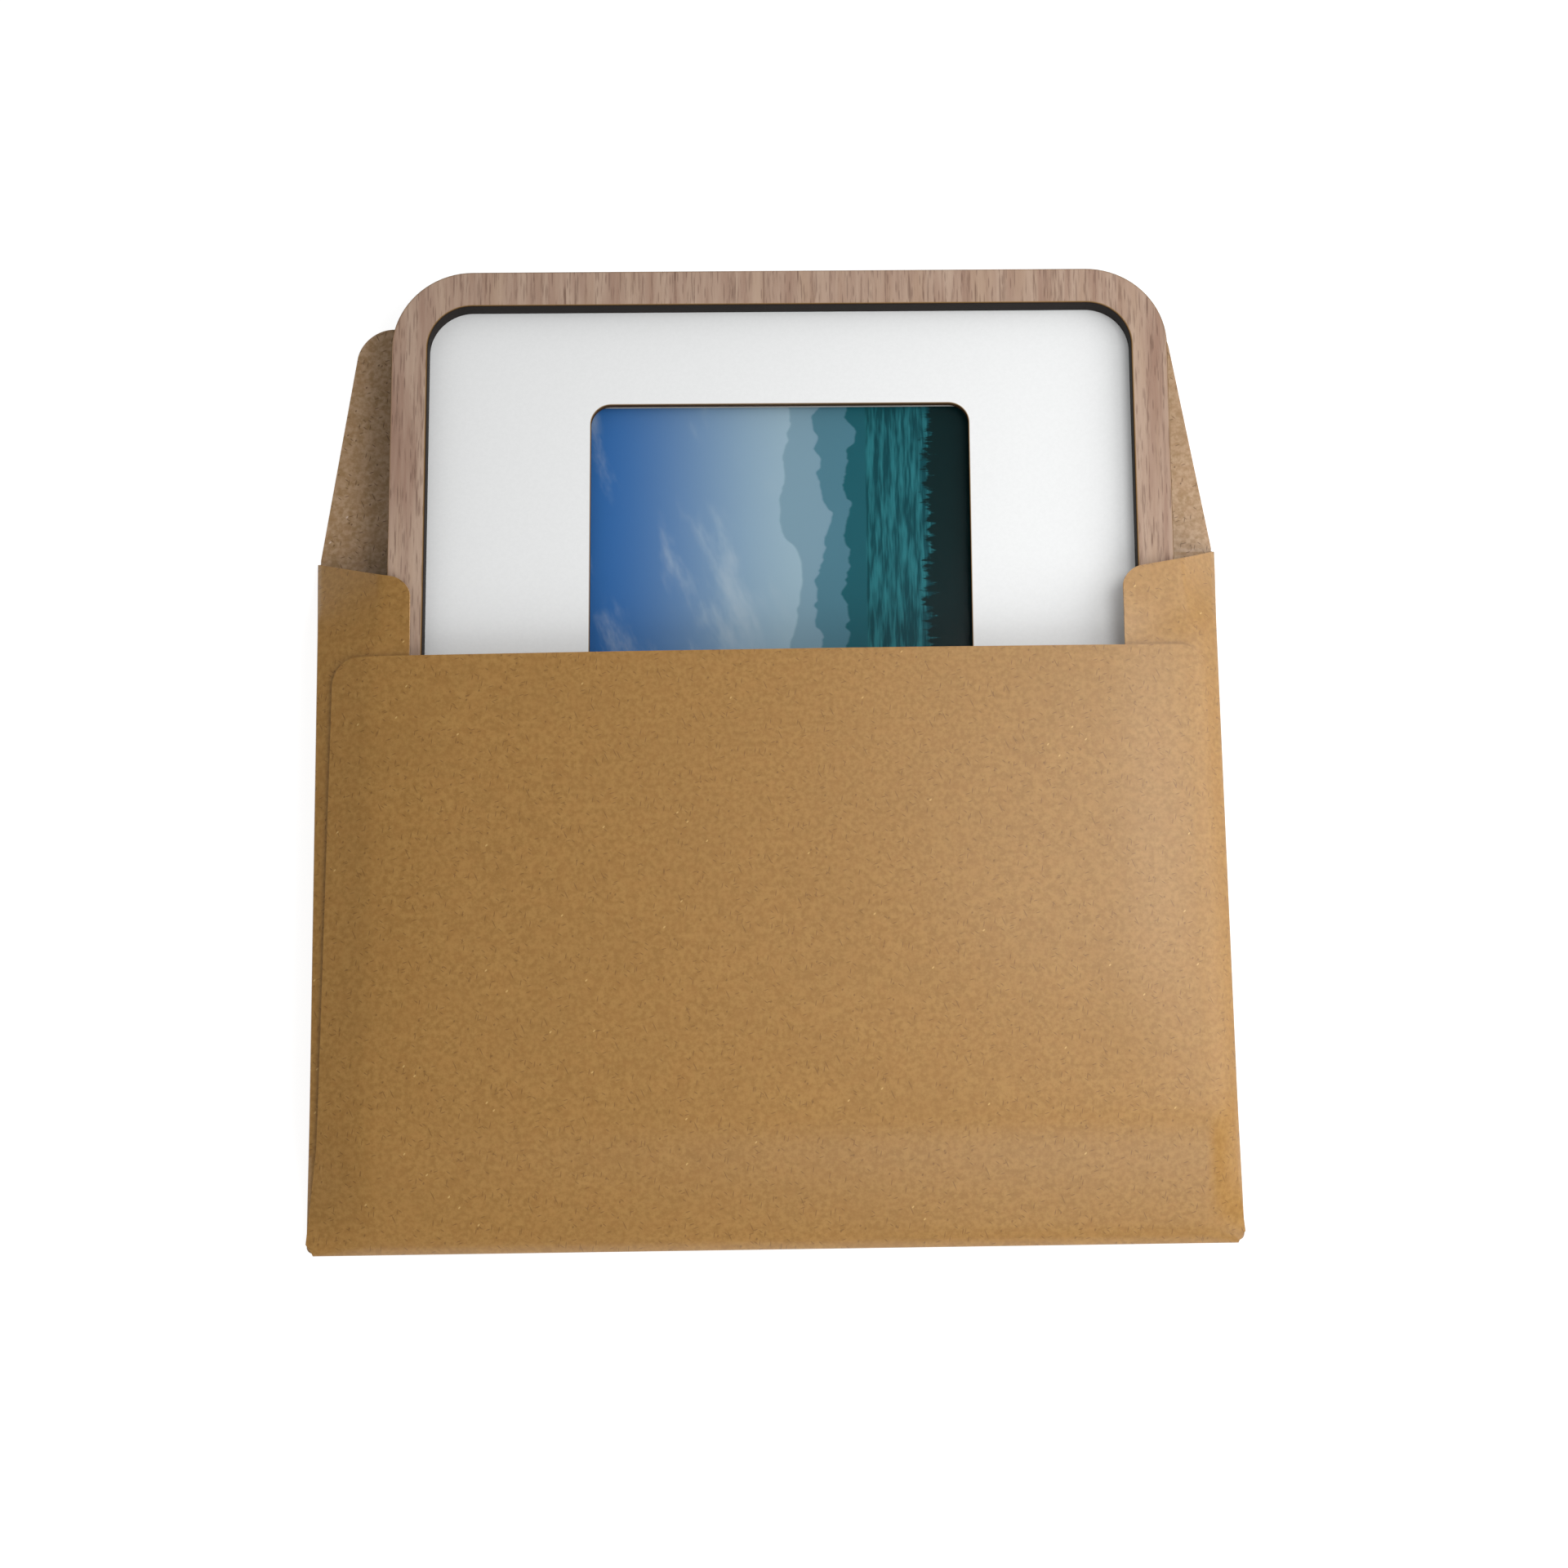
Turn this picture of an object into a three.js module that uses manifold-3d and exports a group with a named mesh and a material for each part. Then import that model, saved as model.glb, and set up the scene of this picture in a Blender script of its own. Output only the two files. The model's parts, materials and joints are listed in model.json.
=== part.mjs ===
// Layered walnut photo frame, drawn half out of the kraft envelope that it is kept and given in.
// Millimetres, +Z up. X runs along the envelope's mouth and Y from its bottom fold towards its flap.
// The origin lies under the middle of the whole object, on the surface that the envelope rests on.

import * as THREE from 'three';
import { mergeVertices } from 'three/addons/utils/BufferGeometryUtils.js';
import Module from 'manifold-3d';

// Instant print, lying on its side with its foot towards +X
const IMAGE_LENGTH = 62;
const IMAGE_WIDTH = 46;
const PRINT_HEAD_BORDER = 7;
const PRINT_FOOT_BORDER = 17;
const PRINT_SIDE_BORDER = 4;
const PRINT_THICKNESS = 0.4;

// Mat and clear sheet behind the front bezel
const WINDOW_OVERLAP = 0.25;
const WINDOW_CORNER = 3.3;
const MAT_MARGIN_X = 26.4;
const MAT_MARGIN_Y = 15.8;
const MAT_THICKNESS = 1.2;
const GLAZING_THICKNESS = 0.6;
const SHEET_FIT = 0.4;
const SHEET_PLAY = 0.1;

// Glued wooden layers of the frame
const BEZEL_WIDTH = 5.9;
const BEZEL_THICKNESS = 3.3;
const FRAME_CORNER = 13;
const REBATE = 2.5;
const ADHESIVE_THICKNESS = 0.15;
const BACK_THICKNESS = 0.9;

// Photo tray and stand strut, which slide in a channel that opens at the frame's +Y edge
const TRAY_FLOOR = 0.5;
const TRAY_RIM = 2;
const TRAY_LIP = 0.1;
const PRINT_FIT = 0.3;
const RUNNING_PLAY = 0.25;
const SIDE_PLAY = 0.4;
const EDGE_SETBACK = 0.3;
const CHANNEL_WALL = 5.9;
const RAIL_WIDTH = 2.2;
const STRUT_THICKNESS = 1;
const STRUT_LENGTH = 66;
const STRUT_CORNER = 2.5;
const MORTISE_WALL = 1.7;
const MORTISE_FIT = 0.15;
const TRAY_THUMB_RADIUS = 9;
const STRUT_THUMB_RADIUS = 5;

// Kraft envelope
const PAPER = 0.3;
const PAPER_GAP = 0.3;
const GLUE_THICKNESS = 0.2;
const GLUE_MARGIN = 3;
const SIDE_ALLOWANCE = 9.95;
const BOTTOM_ALLOWANCE = 21;
const FLAP_CLEARANCE = 1;
const ENVELOPE_CORNER = 1;
const FLAP_HEIGHT = 40.3;
const FLAP_TAPER_DEGREES = 8.9;
const FLAP_CORNER = 6;
const GUM_WIDTH = 9;
const GUM_MARGIN = 2.5;
const GUM_THICKNESS = 0.08;
const SIDE_FLAP_WIDTH = 16.2;
const SIDE_FLAP_SLANT_DEGREES = 19;
const SIDE_FLAP_CORNER = 5;
const SIDE_FLAP_FOOT = 5;
const POCKET_DROP = 18;
const POCKET_INSET = 2.4;
const POCKET_FOOT_INSET = 1.2;
const POCKET_CORNER = 7;
const POCKET_ARCH = 0.8;
const DRAPE_MARGIN = 0.6;
const DRAPE_POWER = 1.6;

// How far the frame is drawn out of the envelope, and how it lies there
const FRAME_REACH = 46.8;
const FRAME_SHIFT = 2.4;
const FRAME_YAW_DEGREES = -0.51;

// Fineness of round corners and of the draped paper
const ARC_STEPS = 14;
const SLOPE_STEPS = 6;
const ARCH_STEPS = 8;
const MERGE_DISTANCE = 1e-4;

// Sizes that follow from the ones above
const printLength = PRINT_HEAD_BORDER + IMAGE_LENGTH + PRINT_FOOT_BORDER;
const printWidth = IMAGE_WIDTH + 2 * PRINT_SIDE_BORDER;
const printCentre = (PRINT_FOOT_BORDER - PRINT_HEAD_BORDER) / 2;
const windowLength = IMAGE_LENGTH - 2 * WINDOW_OVERLAP;
const windowDepth = IMAGE_WIDTH - 2 * WINDOW_OVERLAP;
const sightLength = windowLength + 2 * MAT_MARGIN_X;
const sightDepth = windowDepth + 2 * MAT_MARGIN_Y;
const frameLength = sightLength + 2 * BEZEL_WIDTH;
const frameDepth = sightDepth + 2 * BEZEL_WIDTH;
const sightCorner = FRAME_CORNER - BEZEL_WIDTH;
const rebateLength = sightLength + 2 * REBATE;
const rebateDepth = sightDepth + 2 * REBATE;
const rebateCorner = sightCorner + REBATE;

const trayThickness = TRAY_FLOOR + PRINT_THICKNESS + TRAY_LIP;
const trayPocketLength = printLength + 2 * PRINT_FIT;
const trayPocketDepth = printWidth + 2 * PRINT_FIT;
const trayLength = trayPocketLength + 2 * TRAY_RIM;
const trayFoot = -trayPocketDepth / 2 - TRAY_RIM;
const channelThickness = Math.max(trayThickness, STRUT_THICKNESS) + 2 * RUNNING_PLAY;
const trayBayLeft = printCentre - trayLength / 2 - SIDE_PLAY;
const trayBayRight = printCentre + trayLength / 2 + SIDE_PLAY;
const strutBayLeft = CHANNEL_WALL - frameLength / 2;
const strutBayRight = trayBayLeft - RAIL_WIDTH;
const strutWidth = strutBayRight - strutBayLeft - 2 * SIDE_PLAY;
const strutCentre = (strutBayLeft + strutBayRight) / 2;
const blockWidth = frameLength / 2 - trayBayRight;
const mortiseCentre = trayBayRight + blockWidth / 2;
const tongueWidth = blockWidth - 2 * MORTISE_WALL;
const tongueLength = BACK_THICKNESS + ADHESIVE_THICKNESS + channelThickness - RUNNING_PLAY;

const backTop = BACK_THICKNESS;
const channelBottom = backTop + ADHESIVE_THICKNESS;
const channelTop = channelBottom + channelThickness;
const ringBottom = channelTop + ADHESIVE_THICKNESS;
const ringThickness = MAT_THICKNESS + GLAZING_THICKNESS + 2 * SHEET_PLAY;
const ringTop = ringBottom + ringThickness;
const bezelBottom = ringTop + ADHESIVE_THICKNESS;
const frameThickness = bezelBottom + BEZEL_THICKNESS;

// Half extents of the frame as it lies turned in the envelope
const yaw = THREE.MathUtils.degToRad(FRAME_YAW_DEGREES);
const coreX = frameLength / 2 - FRAME_CORNER;
const coreY = frameDepth / 2 - FRAME_CORNER;
const frameHalfX = coreX * Math.cos(yaw) + coreY * Math.abs(Math.sin(yaw)) + FRAME_CORNER;
const frameHalfY = coreX * Math.abs(Math.sin(yaw)) + coreY * Math.cos(yaw) + FRAME_CORNER;

const halfWidth = frameLength / 2 + SIDE_ALLOWANCE;
const crease = BOTTOM_ALLOWANCE + 2 * frameHalfY + FLAP_CLEARANCE;
const mouth = crease - POCKET_DROP;
const floorTop = PAPER + PAPER_GAP;
const frameCentreY = crease + FRAME_REACH - frameHalfY;
const objectDepth = crease + FRAME_REACH;

// The paper over the frame stays level from padLeft to padRight and up from padBottom
const padLeft = FRAME_SHIFT - frameHalfX - DRAPE_MARGIN;
const padRight = FRAME_SHIFT + frameHalfX + DRAPE_MARGIN;
const padBottom = BOTTOM_ALLOWANCE - DRAPE_MARGIN;
const drapeRise = frameThickness + PAPER_GAP;

const wasm = await Module();
wasm.setup();

function finish(color, roughness, metalness = 0) {
  return new THREE.MeshStandardMaterial({ color, roughness, metalness });
}

const kraft = finish('#a67f4f', 0.9);
const walnut = finish('#a98b79', 0.6);
const plywood = finish('#b99a72', 0.7);
const matBoard = finish('#e9e8e4', 0.95);
const acrylic = finish('#e6eef0', 0.05);
const adhesiveFilm = finish('#d8d2bd', 0.4);
const paperGlue = finish('#cbb58c', 0.4);
const printFace = finish('#3f77a8', 0.3);

// Outlines

function roundedRectangle(length, depth, radius) {
  const x = length / 2 - radius;
  const y = depth / 2 - radius;
  const shape = new THREE.Shape();
  shape.absarc(x, y, radius, 0, Math.PI / 2);
  shape.absarc(-x, y, radius, Math.PI / 2, Math.PI);
  shape.absarc(-x, -y, radius, Math.PI, 1.5 * Math.PI);
  shape.absarc(x, -y, radius, 1.5 * Math.PI, 2 * Math.PI);
  shape.closePath();
  return shape;
}

// Each corner is [x, y, radius]; the corners run anticlockwise
function roundedPolygon(corners) {
  const shape = new THREE.Shape();
  corners.forEach(([x, y, radius], index) => {
    const corner = new THREE.Vector2(x, y);
    const [beforeX, beforeY] = corners.at(index - 1);
    const [afterX, afterY] = corners[(index + 1) % corners.length];
    const back = new THREE.Vector2(beforeX, beforeY).sub(corner).normalize();
    const ahead = new THREE.Vector2(afterX, afterY).sub(corner).normalize();
    const cut = radius / Math.tan(Math.acos(back.dot(ahead)) / 2);
    const start = corner.clone().addScaledVector(back, cut);
    const end = corner.clone().addScaledVector(ahead, cut);
    if (index === 0) shape.moveTo(start.x, start.y);
    else shape.lineTo(start.x, start.y);
    if (radius > 0) shape.quadraticCurveTo(x, y, end.x, end.y);
  });
  shape.closePath();
  return shape;
}

function rectangle(left, bottom, right, top) {
  return roundedPolygon([[left, bottom, 0], [right, bottom, 0], [right, top, 0], [left, top, 0]]);
}

// The same outline on the other side of the envelope, with its corners in anticlockwise order again
function mirrored(corners) {
  return corners.map(([x, y, radius]) => [-x, y, radius]).reverse();
}

// Solids

function slab(shape, bottom, thickness) {
  const options = { depth: thickness, bevelEnabled: false, curveSegments: ARC_STEPS };
  return new THREE.ExtrudeGeometry(shape, options).translate(0, 0, bottom);
}

function toSolid(geometry) {
  const bare = geometry.clone();
  bare.deleteAttribute('normal');
  bare.deleteAttribute('uv');
  const merged = mergeVertices(bare, MERGE_DISTANCE);
  return new wasm.Manifold(new wasm.Mesh({
    numProp: 3,
    vertProperties: Float32Array.from(merged.attributes.position.array),
    triVerts: Uint32Array.from(merged.index.array),
  }));
}

function toGeometry(solid) {
  const { vertProperties, triVerts } = solid.getMesh();
  const geometry = new THREE.BufferGeometry();
  geometry.setAttribute('position', new THREE.BufferAttribute(vertProperties, 3));
  geometry.setIndex(new THREE.BufferAttribute(triVerts, 1));
  geometry.computeVertexNormals();
  return geometry;
}

function cut(geometry, ...tools) {
  return toGeometry(tools.reduce((solid, tool) => solid.subtract(toSolid(tool)), toSolid(geometry)));
}

function common(geometry, other) {
  return toGeometry(toSolid(geometry).intersect(toSolid(other)));
}

function ring(outer, hole, bottom, thickness) {
  outer.holes.push(hole);
  return slab(outer, bottom, thickness);
}

// A sheet over the points xs by ys, from the height lower(x, y) up by its thickness
function drapedSheet(xs, ys, lower, thickness) {
  const points = [];
  for (const lift of [0, thickness]) {
    for (const y of ys) for (const x of xs) points.push(x, y, lower(x, y) + lift);
  }
  const layer = xs.length * ys.length;
  const faces = [];
  const quad = (a, b, c, d) => faces.push(a, b, c, a, c, d);
  const at = (column, row, top) => top * layer + row * xs.length + column;
  for (let row = 0; row + 1 < ys.length; row += 1) {
    for (let column = 0; column + 1 < xs.length; column += 1) {
      const corners = [[0, 0], [1, 0], [1, 1], [0, 1]];
      const [a, b, c, d] = corners.map(([dx, dy]) => at(column + dx, row + dy, 0));
      faces.push(a, c, b, a, d, c);
      quad(a + layer, b + layer, c + layer, d + layer);
    }
  }
  const rim = [];
  for (let column = 0; column < xs.length; column += 1) rim.push(at(column, 0, 0));
  for (let row = 1; row < ys.length; row += 1) rim.push(at(xs.length - 1, row, 0));
  for (let column = xs.length - 2; column >= 0; column -= 1) rim.push(at(column, ys.length - 1, 0));
  for (let row = ys.length - 2; row > 0; row -= 1) rim.push(at(0, row, 0));
  rim.forEach((here, index) => {
    const next = rim[(index + 1) % rim.length];
    quad(here, next, next + layer, here + layer);
  });
  const geometry = new THREE.BufferGeometry();
  geometry.setAttribute('position', new THREE.Float32BufferAttribute(points, 3));
  geometry.setIndex(faces);
  return geometry;
}

function steps(from, to, count) {
  return Array.from({ length: count }, (_, index) => from + ((to - from) * index) / count);
}

// Draped paper

function fall(distance, span) {
  return distance <= 0 ? 1 : 1 - Math.min(distance / span, 1) ** DRAPE_POWER;
}

// Underside of the side flaps: over the frame where it can slide, and down to the folds round it
function drapeHeight(x, y) {
  const beside = x < padLeft ? fall(padLeft - x, padLeft + halfWidth) : fall(x - padRight, halfWidth - padRight);
  return floorTop + drapeRise * beside * fall(padBottom - y, padBottom);
}

// Underside of the pocket panel: over the side flaps, with a slight arch that fades to the bottom fold
function pocketHeight(x, y) {
  const overFlap = (PAPER + PAPER_GAP) * Math.min(Math.max(y / SIDE_FLAP_FOOT, 0), 1);
  const crown = Math.max(1 - (x / halfWidth) ** 2, 0);
  return drapeHeight(x, y) + overFlap + POCKET_ARCH * crown * crown * (Math.max(y, 0) / mouth);
}

const overhang = PAPER;
const drapeXs = [
  -halfWidth - overhang,
  ...steps(-halfWidth, padLeft, SLOPE_STEPS),
  ...steps(padLeft, padRight, ARCH_STEPS),
  ...steps(padRight, halfWidth, SLOPE_STEPS),
  halfWidth,
  halfWidth + overhang,
];
const drapeYs = [
  -overhang,
  ...steps(0, SIDE_FLAP_FOOT, 2),
  ...steps(SIDE_FLAP_FOOT, padBottom, SLOPE_STEPS),
  padBottom,
  mouth + overhang,
  crease + overhang,
];

function draped(shape, lower, thickness) {
  const column = slab(shape, -overhang, 2 * (floorTop + drapeRise + POCKET_ARCH));
  return common(drapedSheet(drapeXs, drapeYs, lower, thickness), column);
}

// Envelope, with Y measured from its bottom fold

const envelope = new THREE.Group();
envelope.position.y = -objectDepth / 2;

function add(group, name, geometry, material) {
  const mesh = new THREE.Mesh(geometry, material);
  mesh.name = name;
  group.add(mesh);
}

const backOutline = roundedPolygon([
  [-halfWidth, 0, ENVELOPE_CORNER],
  [halfWidth, 0, ENVELOPE_CORNER],
  [halfWidth, crease, 0],
  [-halfWidth, crease, 0],
]);
add(envelope, 'envelope_back_panel', slab(backOutline, 0, PAPER), kraft);

const pocketOutline = roundedPolygon([
  [POCKET_FOOT_INSET - halfWidth, 0, 0],
  [halfWidth - POCKET_FOOT_INSET, 0, 0],
  [halfWidth - POCKET_INSET, mouth, POCKET_CORNER],
  [POCKET_INSET - halfWidth, mouth, POCKET_CORNER],
]);
add(envelope, 'envelope_pocket_panel', draped(pocketOutline, pocketHeight, PAPER), kraft);

const sideFlapDrop = SIDE_FLAP_WIDTH * Math.tan(THREE.MathUtils.degToRad(SIDE_FLAP_SLANT_DEGREES));
const sideFlapEdge = halfWidth - SIDE_FLAP_WIDTH;
const leftFlapCorners = [
  [-halfWidth, SIDE_FLAP_FOOT, 0],
  [-sideFlapEdge, SIDE_FLAP_FOOT + sideFlapDrop, SIDE_FLAP_CORNER],
  [-sideFlapEdge, crease - sideFlapDrop, SIDE_FLAP_CORNER],
  [-halfWidth, crease, 0],
];
const glueTop = mouth - POCKET_CORNER - GLUE_MARGIN;
const glueFoot = SIDE_FLAP_FOOT + sideFlapDrop + GLUE_MARGIN;
const leftGlueCorners = [
  [POCKET_INSET + GLUE_MARGIN - halfWidth, glueFoot, GLUE_MARGIN / 2],
  [-sideFlapEdge - GLUE_MARGIN, glueFoot, GLUE_MARGIN / 2],
  [-sideFlapEdge - GLUE_MARGIN, glueTop, GLUE_MARGIN / 2],
  [POCKET_INSET + GLUE_MARGIN - halfWidth, glueTop, GLUE_MARGIN / 2],
];
const glueHeight = (x, y) => drapeHeight(x, y) + PAPER + (PAPER_GAP - GLUE_THICKNESS) / 2;
for (const [side, placed] of [['left', (corners) => corners], ['right', mirrored]]) {
  const flap = draped(roundedPolygon(placed(leftFlapCorners)), drapeHeight, PAPER);
  const glue = draped(roundedPolygon(placed(leftGlueCorners)), glueHeight, GLUE_THICKNESS);
  add(envelope, `envelope_${side}_side_flap`, flap, kraft);
  add(envelope, `${side}_seam_glue`, glue, paperGlue);
}

const flapFoot = crease + PAPER_GAP;
const flapTop = crease + FLAP_HEIGHT;
const flapTaper = Math.tan(THREE.MathUtils.degToRad(FLAP_TAPER_DEGREES));
const flapTopHalf = halfWidth - FLAP_HEIGHT * flapTaper;
const flapOutline = roundedPolygon([
  [-halfWidth, flapFoot, 0],
  [halfWidth, flapFoot, 0],
  [flapTopHalf, flapTop, FLAP_CORNER],
  [-flapTopHalf, flapTop, FLAP_CORNER],
]);
add(envelope, 'envelope_closure_flap', slab(flapOutline, 0, PAPER), kraft);

const gumHalf = flapTopHalf - FLAP_CORNER;
const gumOutline = rectangle(-gumHalf, flapTop - GUM_MARGIN - GUM_WIDTH, gumHalf, flapTop - GUM_MARGIN);
add(envelope, 'closure_gum_strip', slab(gumOutline, PAPER, GUM_THICKNESS), paperGlue);

// Frame, with its own origin at its middle on its back face

const frame = new THREE.Group();
frame.position.set(FRAME_SHIFT, frameCentreY, floorTop);
frame.rotation.z = yaw;
envelope.add(frame);

const frameOutline = () => roundedRectangle(frameLength, frameDepth, FRAME_CORNER);
const sightOutline = () => roundedRectangle(sightLength, sightDepth, sightCorner);
const rebateOutline = (gap) =>
  roundedRectangle(rebateLength - 2 * gap, rebateDepth - 2 * gap, rebateCorner - gap);

add(frame, 'front_bezel', ring(frameOutline(), sightOutline(), bezelBottom, BEZEL_THICKNESS), walnut);
const bezelAdhesive = ring(frameOutline(), rebateOutline(0), ringTop, ADHESIVE_THICKNESS);
add(frame, 'bezel_adhesive', bezelAdhesive, adhesiveFilm);
add(frame, 'sight_ring', ring(frameOutline(), rebateOutline(0), ringBottom, ringThickness), plywood);

const windowOutline = roundedRectangle(windowLength, windowDepth, WINDOW_CORNER);
const matBottom = ringTop - MAT_THICKNESS;
const windowMat = ring(rebateOutline(SHEET_FIT), windowOutline, matBottom, MAT_THICKNESS);
add(frame, 'window_mat', windowMat, matBoard);
const glazingBottom = matBottom - SHEET_PLAY - GLAZING_THICKNESS;
add(frame, 'glazing_sheet', slab(rebateOutline(SHEET_FIT), glazingBottom, GLAZING_THICKNESS), acrylic);

// The two rear adhesive films leave the +Y bar bare, where the channel opens
const pastEdge = frameDepth;
function openFilm(bottom) {
  const top = rectangle(-pastEdge, coreY, pastEdge, pastEdge);
  const film = ring(frameOutline(), rebateOutline(0), bottom, ADHESIVE_THICKNESS);
  return cut(film, slab(top, bottom - PAPER, ADHESIVE_THICKNESS + 2 * PAPER));
}
add(frame, 'spacer_adhesive', openFilm(channelTop), adhesiveFilm);
add(frame, 'cover_adhesive', openFilm(backTop), adhesiveFilm);

const strutTop = frameDepth / 2 - EDGE_SETBACK;
const strutFoot = strutTop - STRUT_LENGTH;
const through = (shape) => slab(shape, -PAPER, frameThickness);
const mortise = () => rectangle(
  mortiseCentre - tongueWidth / 2 - MORTISE_FIT,
  -STRUT_THICKNESS / 2 - MORTISE_FIT,
  mortiseCentre + tongueWidth / 2 + MORTISE_FIT,
  STRUT_THICKNESS / 2 + MORTISE_FIT,
);
const channelSpacer = cut(
  slab(frameOutline(), channelBottom, channelThickness),
  through(rectangle(trayBayLeft, trayFoot - SIDE_PLAY, trayBayRight, pastEdge)),
  through(rectangle(strutBayLeft, strutFoot - tongueLength - SIDE_PLAY, strutBayRight, pastEdge)),
  through(mortise()),
);
add(frame, 'channel_spacer', channelSpacer, plywood);

function thumbNotch(x, radius) {
  const shape = new THREE.Shape();
  shape.absarc(x, frameDepth / 2, radius, 0, Math.PI);
  shape.absarc(x, frameDepth / 2, radius, Math.PI, 2 * Math.PI);
  return through(shape);
}
const backCover = cut(
  slab(frameOutline(), 0, BACK_THICKNESS),
  through(mortise()),
  thumbNotch(printCentre, TRAY_THUMB_RADIUS),
  thumbNotch(strutCentre, STRUT_THUMB_RADIUS),
);
add(frame, 'back_cover', backCover, plywood);

// The outer ends of the tray and the strut follow the frame's outline
const insetOutline = () => through(roundedRectangle(
  frameLength - 2 * EDGE_SETBACK,
  frameDepth - 2 * EDGE_SETBACK,
  FRAME_CORNER - EDGE_SETBACK,
));
const trayBottom = channelBottom + RUNNING_PLAY;
const trayLeft = printCentre - trayLength / 2;
const trayBlank = rectangle(trayLeft, trayFoot, trayLeft + trayLength, pastEdge);
const trayPocket = rectangle(
  trayLeft + TRAY_RIM,
  -trayPocketDepth / 2,
  trayLeft + TRAY_RIM + trayPocketLength,
  trayPocketDepth / 2,
);
const printBottom = trayBottom + TRAY_FLOOR;
const tray = cut(
  common(slab(trayBlank, trayBottom, trayThickness), insetOutline()),
  slab(trayPocket, printBottom, trayThickness),
);
add(frame, 'photo_tray', tray, plywood);

const printOutline = rectangle(
  printCentre - printLength / 2,
  -printWidth / 2,
  printCentre + printLength / 2,
  printWidth / 2,
);
add(frame, 'photo_print', slab(printOutline, printBottom, PRINT_THICKNESS), printFace);

const strutOutline = roundedPolygon([
  [strutCentre - tongueWidth / 2, strutFoot - tongueLength, 0],
  [strutCentre + tongueWidth / 2, strutFoot - tongueLength, 0],
  [strutCentre + tongueWidth / 2, strutFoot, 0],
  [strutCentre + strutWidth / 2, strutFoot, STRUT_CORNER / 2],
  [strutCentre + strutWidth / 2, strutTop, STRUT_CORNER],
  [strutCentre - strutWidth / 2, strutTop, STRUT_CORNER],
  [strutCentre - strutWidth / 2, strutFoot, STRUT_CORNER / 2],
  [strutCentre - tongueWidth / 2, strutFoot, 0],
]);
const strutBlank = slab(strutOutline, channelBottom + RUNNING_PLAY, STRUT_THICKNESS);
add(frame, 'stand_strut', common(strutBlank, insetOutline()), plywood);

const photoFrame = new THREE.Group();
photoFrame.add(envelope);

export default photoFrame;
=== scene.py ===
"""Walnut photo frame half out of its kraft envelope: the finished pieces, their materials and the stage.

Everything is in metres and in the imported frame: X along the envelope's mouth, Y from its bottom fold to
its flap, Z up from the surface that it lies on.
"""

import json
import math

import bmesh
import bpy
from bpy.props import FloatProperty, FloatVectorProperty, PointerProperty
from mathutils import Matrix, Vector, noise


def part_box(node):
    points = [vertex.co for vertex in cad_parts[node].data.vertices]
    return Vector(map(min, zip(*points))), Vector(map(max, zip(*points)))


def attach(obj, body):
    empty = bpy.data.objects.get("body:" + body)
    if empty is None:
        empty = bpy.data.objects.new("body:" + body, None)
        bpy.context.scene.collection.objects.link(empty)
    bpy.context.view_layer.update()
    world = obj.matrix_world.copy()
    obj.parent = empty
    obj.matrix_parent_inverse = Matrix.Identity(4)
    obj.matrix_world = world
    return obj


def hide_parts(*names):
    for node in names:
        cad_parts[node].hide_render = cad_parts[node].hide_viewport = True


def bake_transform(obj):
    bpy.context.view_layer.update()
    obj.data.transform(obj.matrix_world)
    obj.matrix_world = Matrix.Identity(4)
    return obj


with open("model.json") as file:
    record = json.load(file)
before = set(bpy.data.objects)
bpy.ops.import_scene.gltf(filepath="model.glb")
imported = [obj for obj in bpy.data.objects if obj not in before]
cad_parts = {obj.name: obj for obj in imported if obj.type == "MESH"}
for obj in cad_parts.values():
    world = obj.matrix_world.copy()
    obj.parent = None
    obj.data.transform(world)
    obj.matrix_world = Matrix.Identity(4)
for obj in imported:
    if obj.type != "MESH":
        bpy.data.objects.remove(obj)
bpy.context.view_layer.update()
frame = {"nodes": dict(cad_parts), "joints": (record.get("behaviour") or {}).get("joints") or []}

bl_info = {
    "name": "Walnut photo frame in an envelope",
    "version": (1, 0, 0),
    "blender": (4, 5, 0),
    "location": "3D View > Sidebar > Photo frame",
    "description": "Builds a layered photo frame, half out of its kraft envelope, with its stage",
    "category": "Object",
}

MM = 0.001
CORNER_SEGMENTS = 20
RIM_SEGMENTS = 3
SMOOTH_ANGLE = math.radians(38)
SQUARE_ANGLE = math.radians(60)
CUT_SNAP = 1e-7
ACROSS, ALONG = (1, 0, 0), (0, 1, 0)
OUTSIDE, INSIDE, CUT_EDGE = range(3)

# The side flaps end this far above the bottom fold
CORNER_OPENING = 1.8 * MM

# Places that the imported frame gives
JOINTS = {joint["name"]: joint for joint in frame["joints"]}
PANEL_LOW, PANEL_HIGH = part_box("envelope_back_panel")
POCKET_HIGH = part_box("envelope_pocket_panel")[1]
SIDE_LOW, SIDE_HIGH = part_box("envelope_left_side_flap")
FLAP_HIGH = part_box("envelope_closure_flap")[1]
GUM_LOW, GUM_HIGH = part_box("closure_gum_strip")
BEZEL_LOW, BEZEL_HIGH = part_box("front_bezel")

HALF_WIDTH = PANEL_HIGH.x
BOTTOM = PANEL_LOW.y
CREASE = PANEL_HIGH.y
MOUTH = POCKET_HIGH.y
PAPER = PANEL_HIGH.z - PANEL_LOW.z
FLOOR_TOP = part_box("back_cover")[0].z
PAPER_STEP = FLOOR_TOP - PANEL_LOW.z
DRAPE_RISE = SIDE_HIGH.z - PAPER - FLOOR_TOP
POCKET_ARCH = POCKET_HIGH.z - SIDE_HIGH.z - PAPER_STEP
SIDE_FOOT = BOTTOM + CORNER_OPENING
SIDE_WIDTH = SIDE_HIGH.x - SIDE_LOW.x
LOWEST_FRAME = BEZEL_LOW.y + JOINTS["frame_slide"]["range_m"][0]

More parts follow.
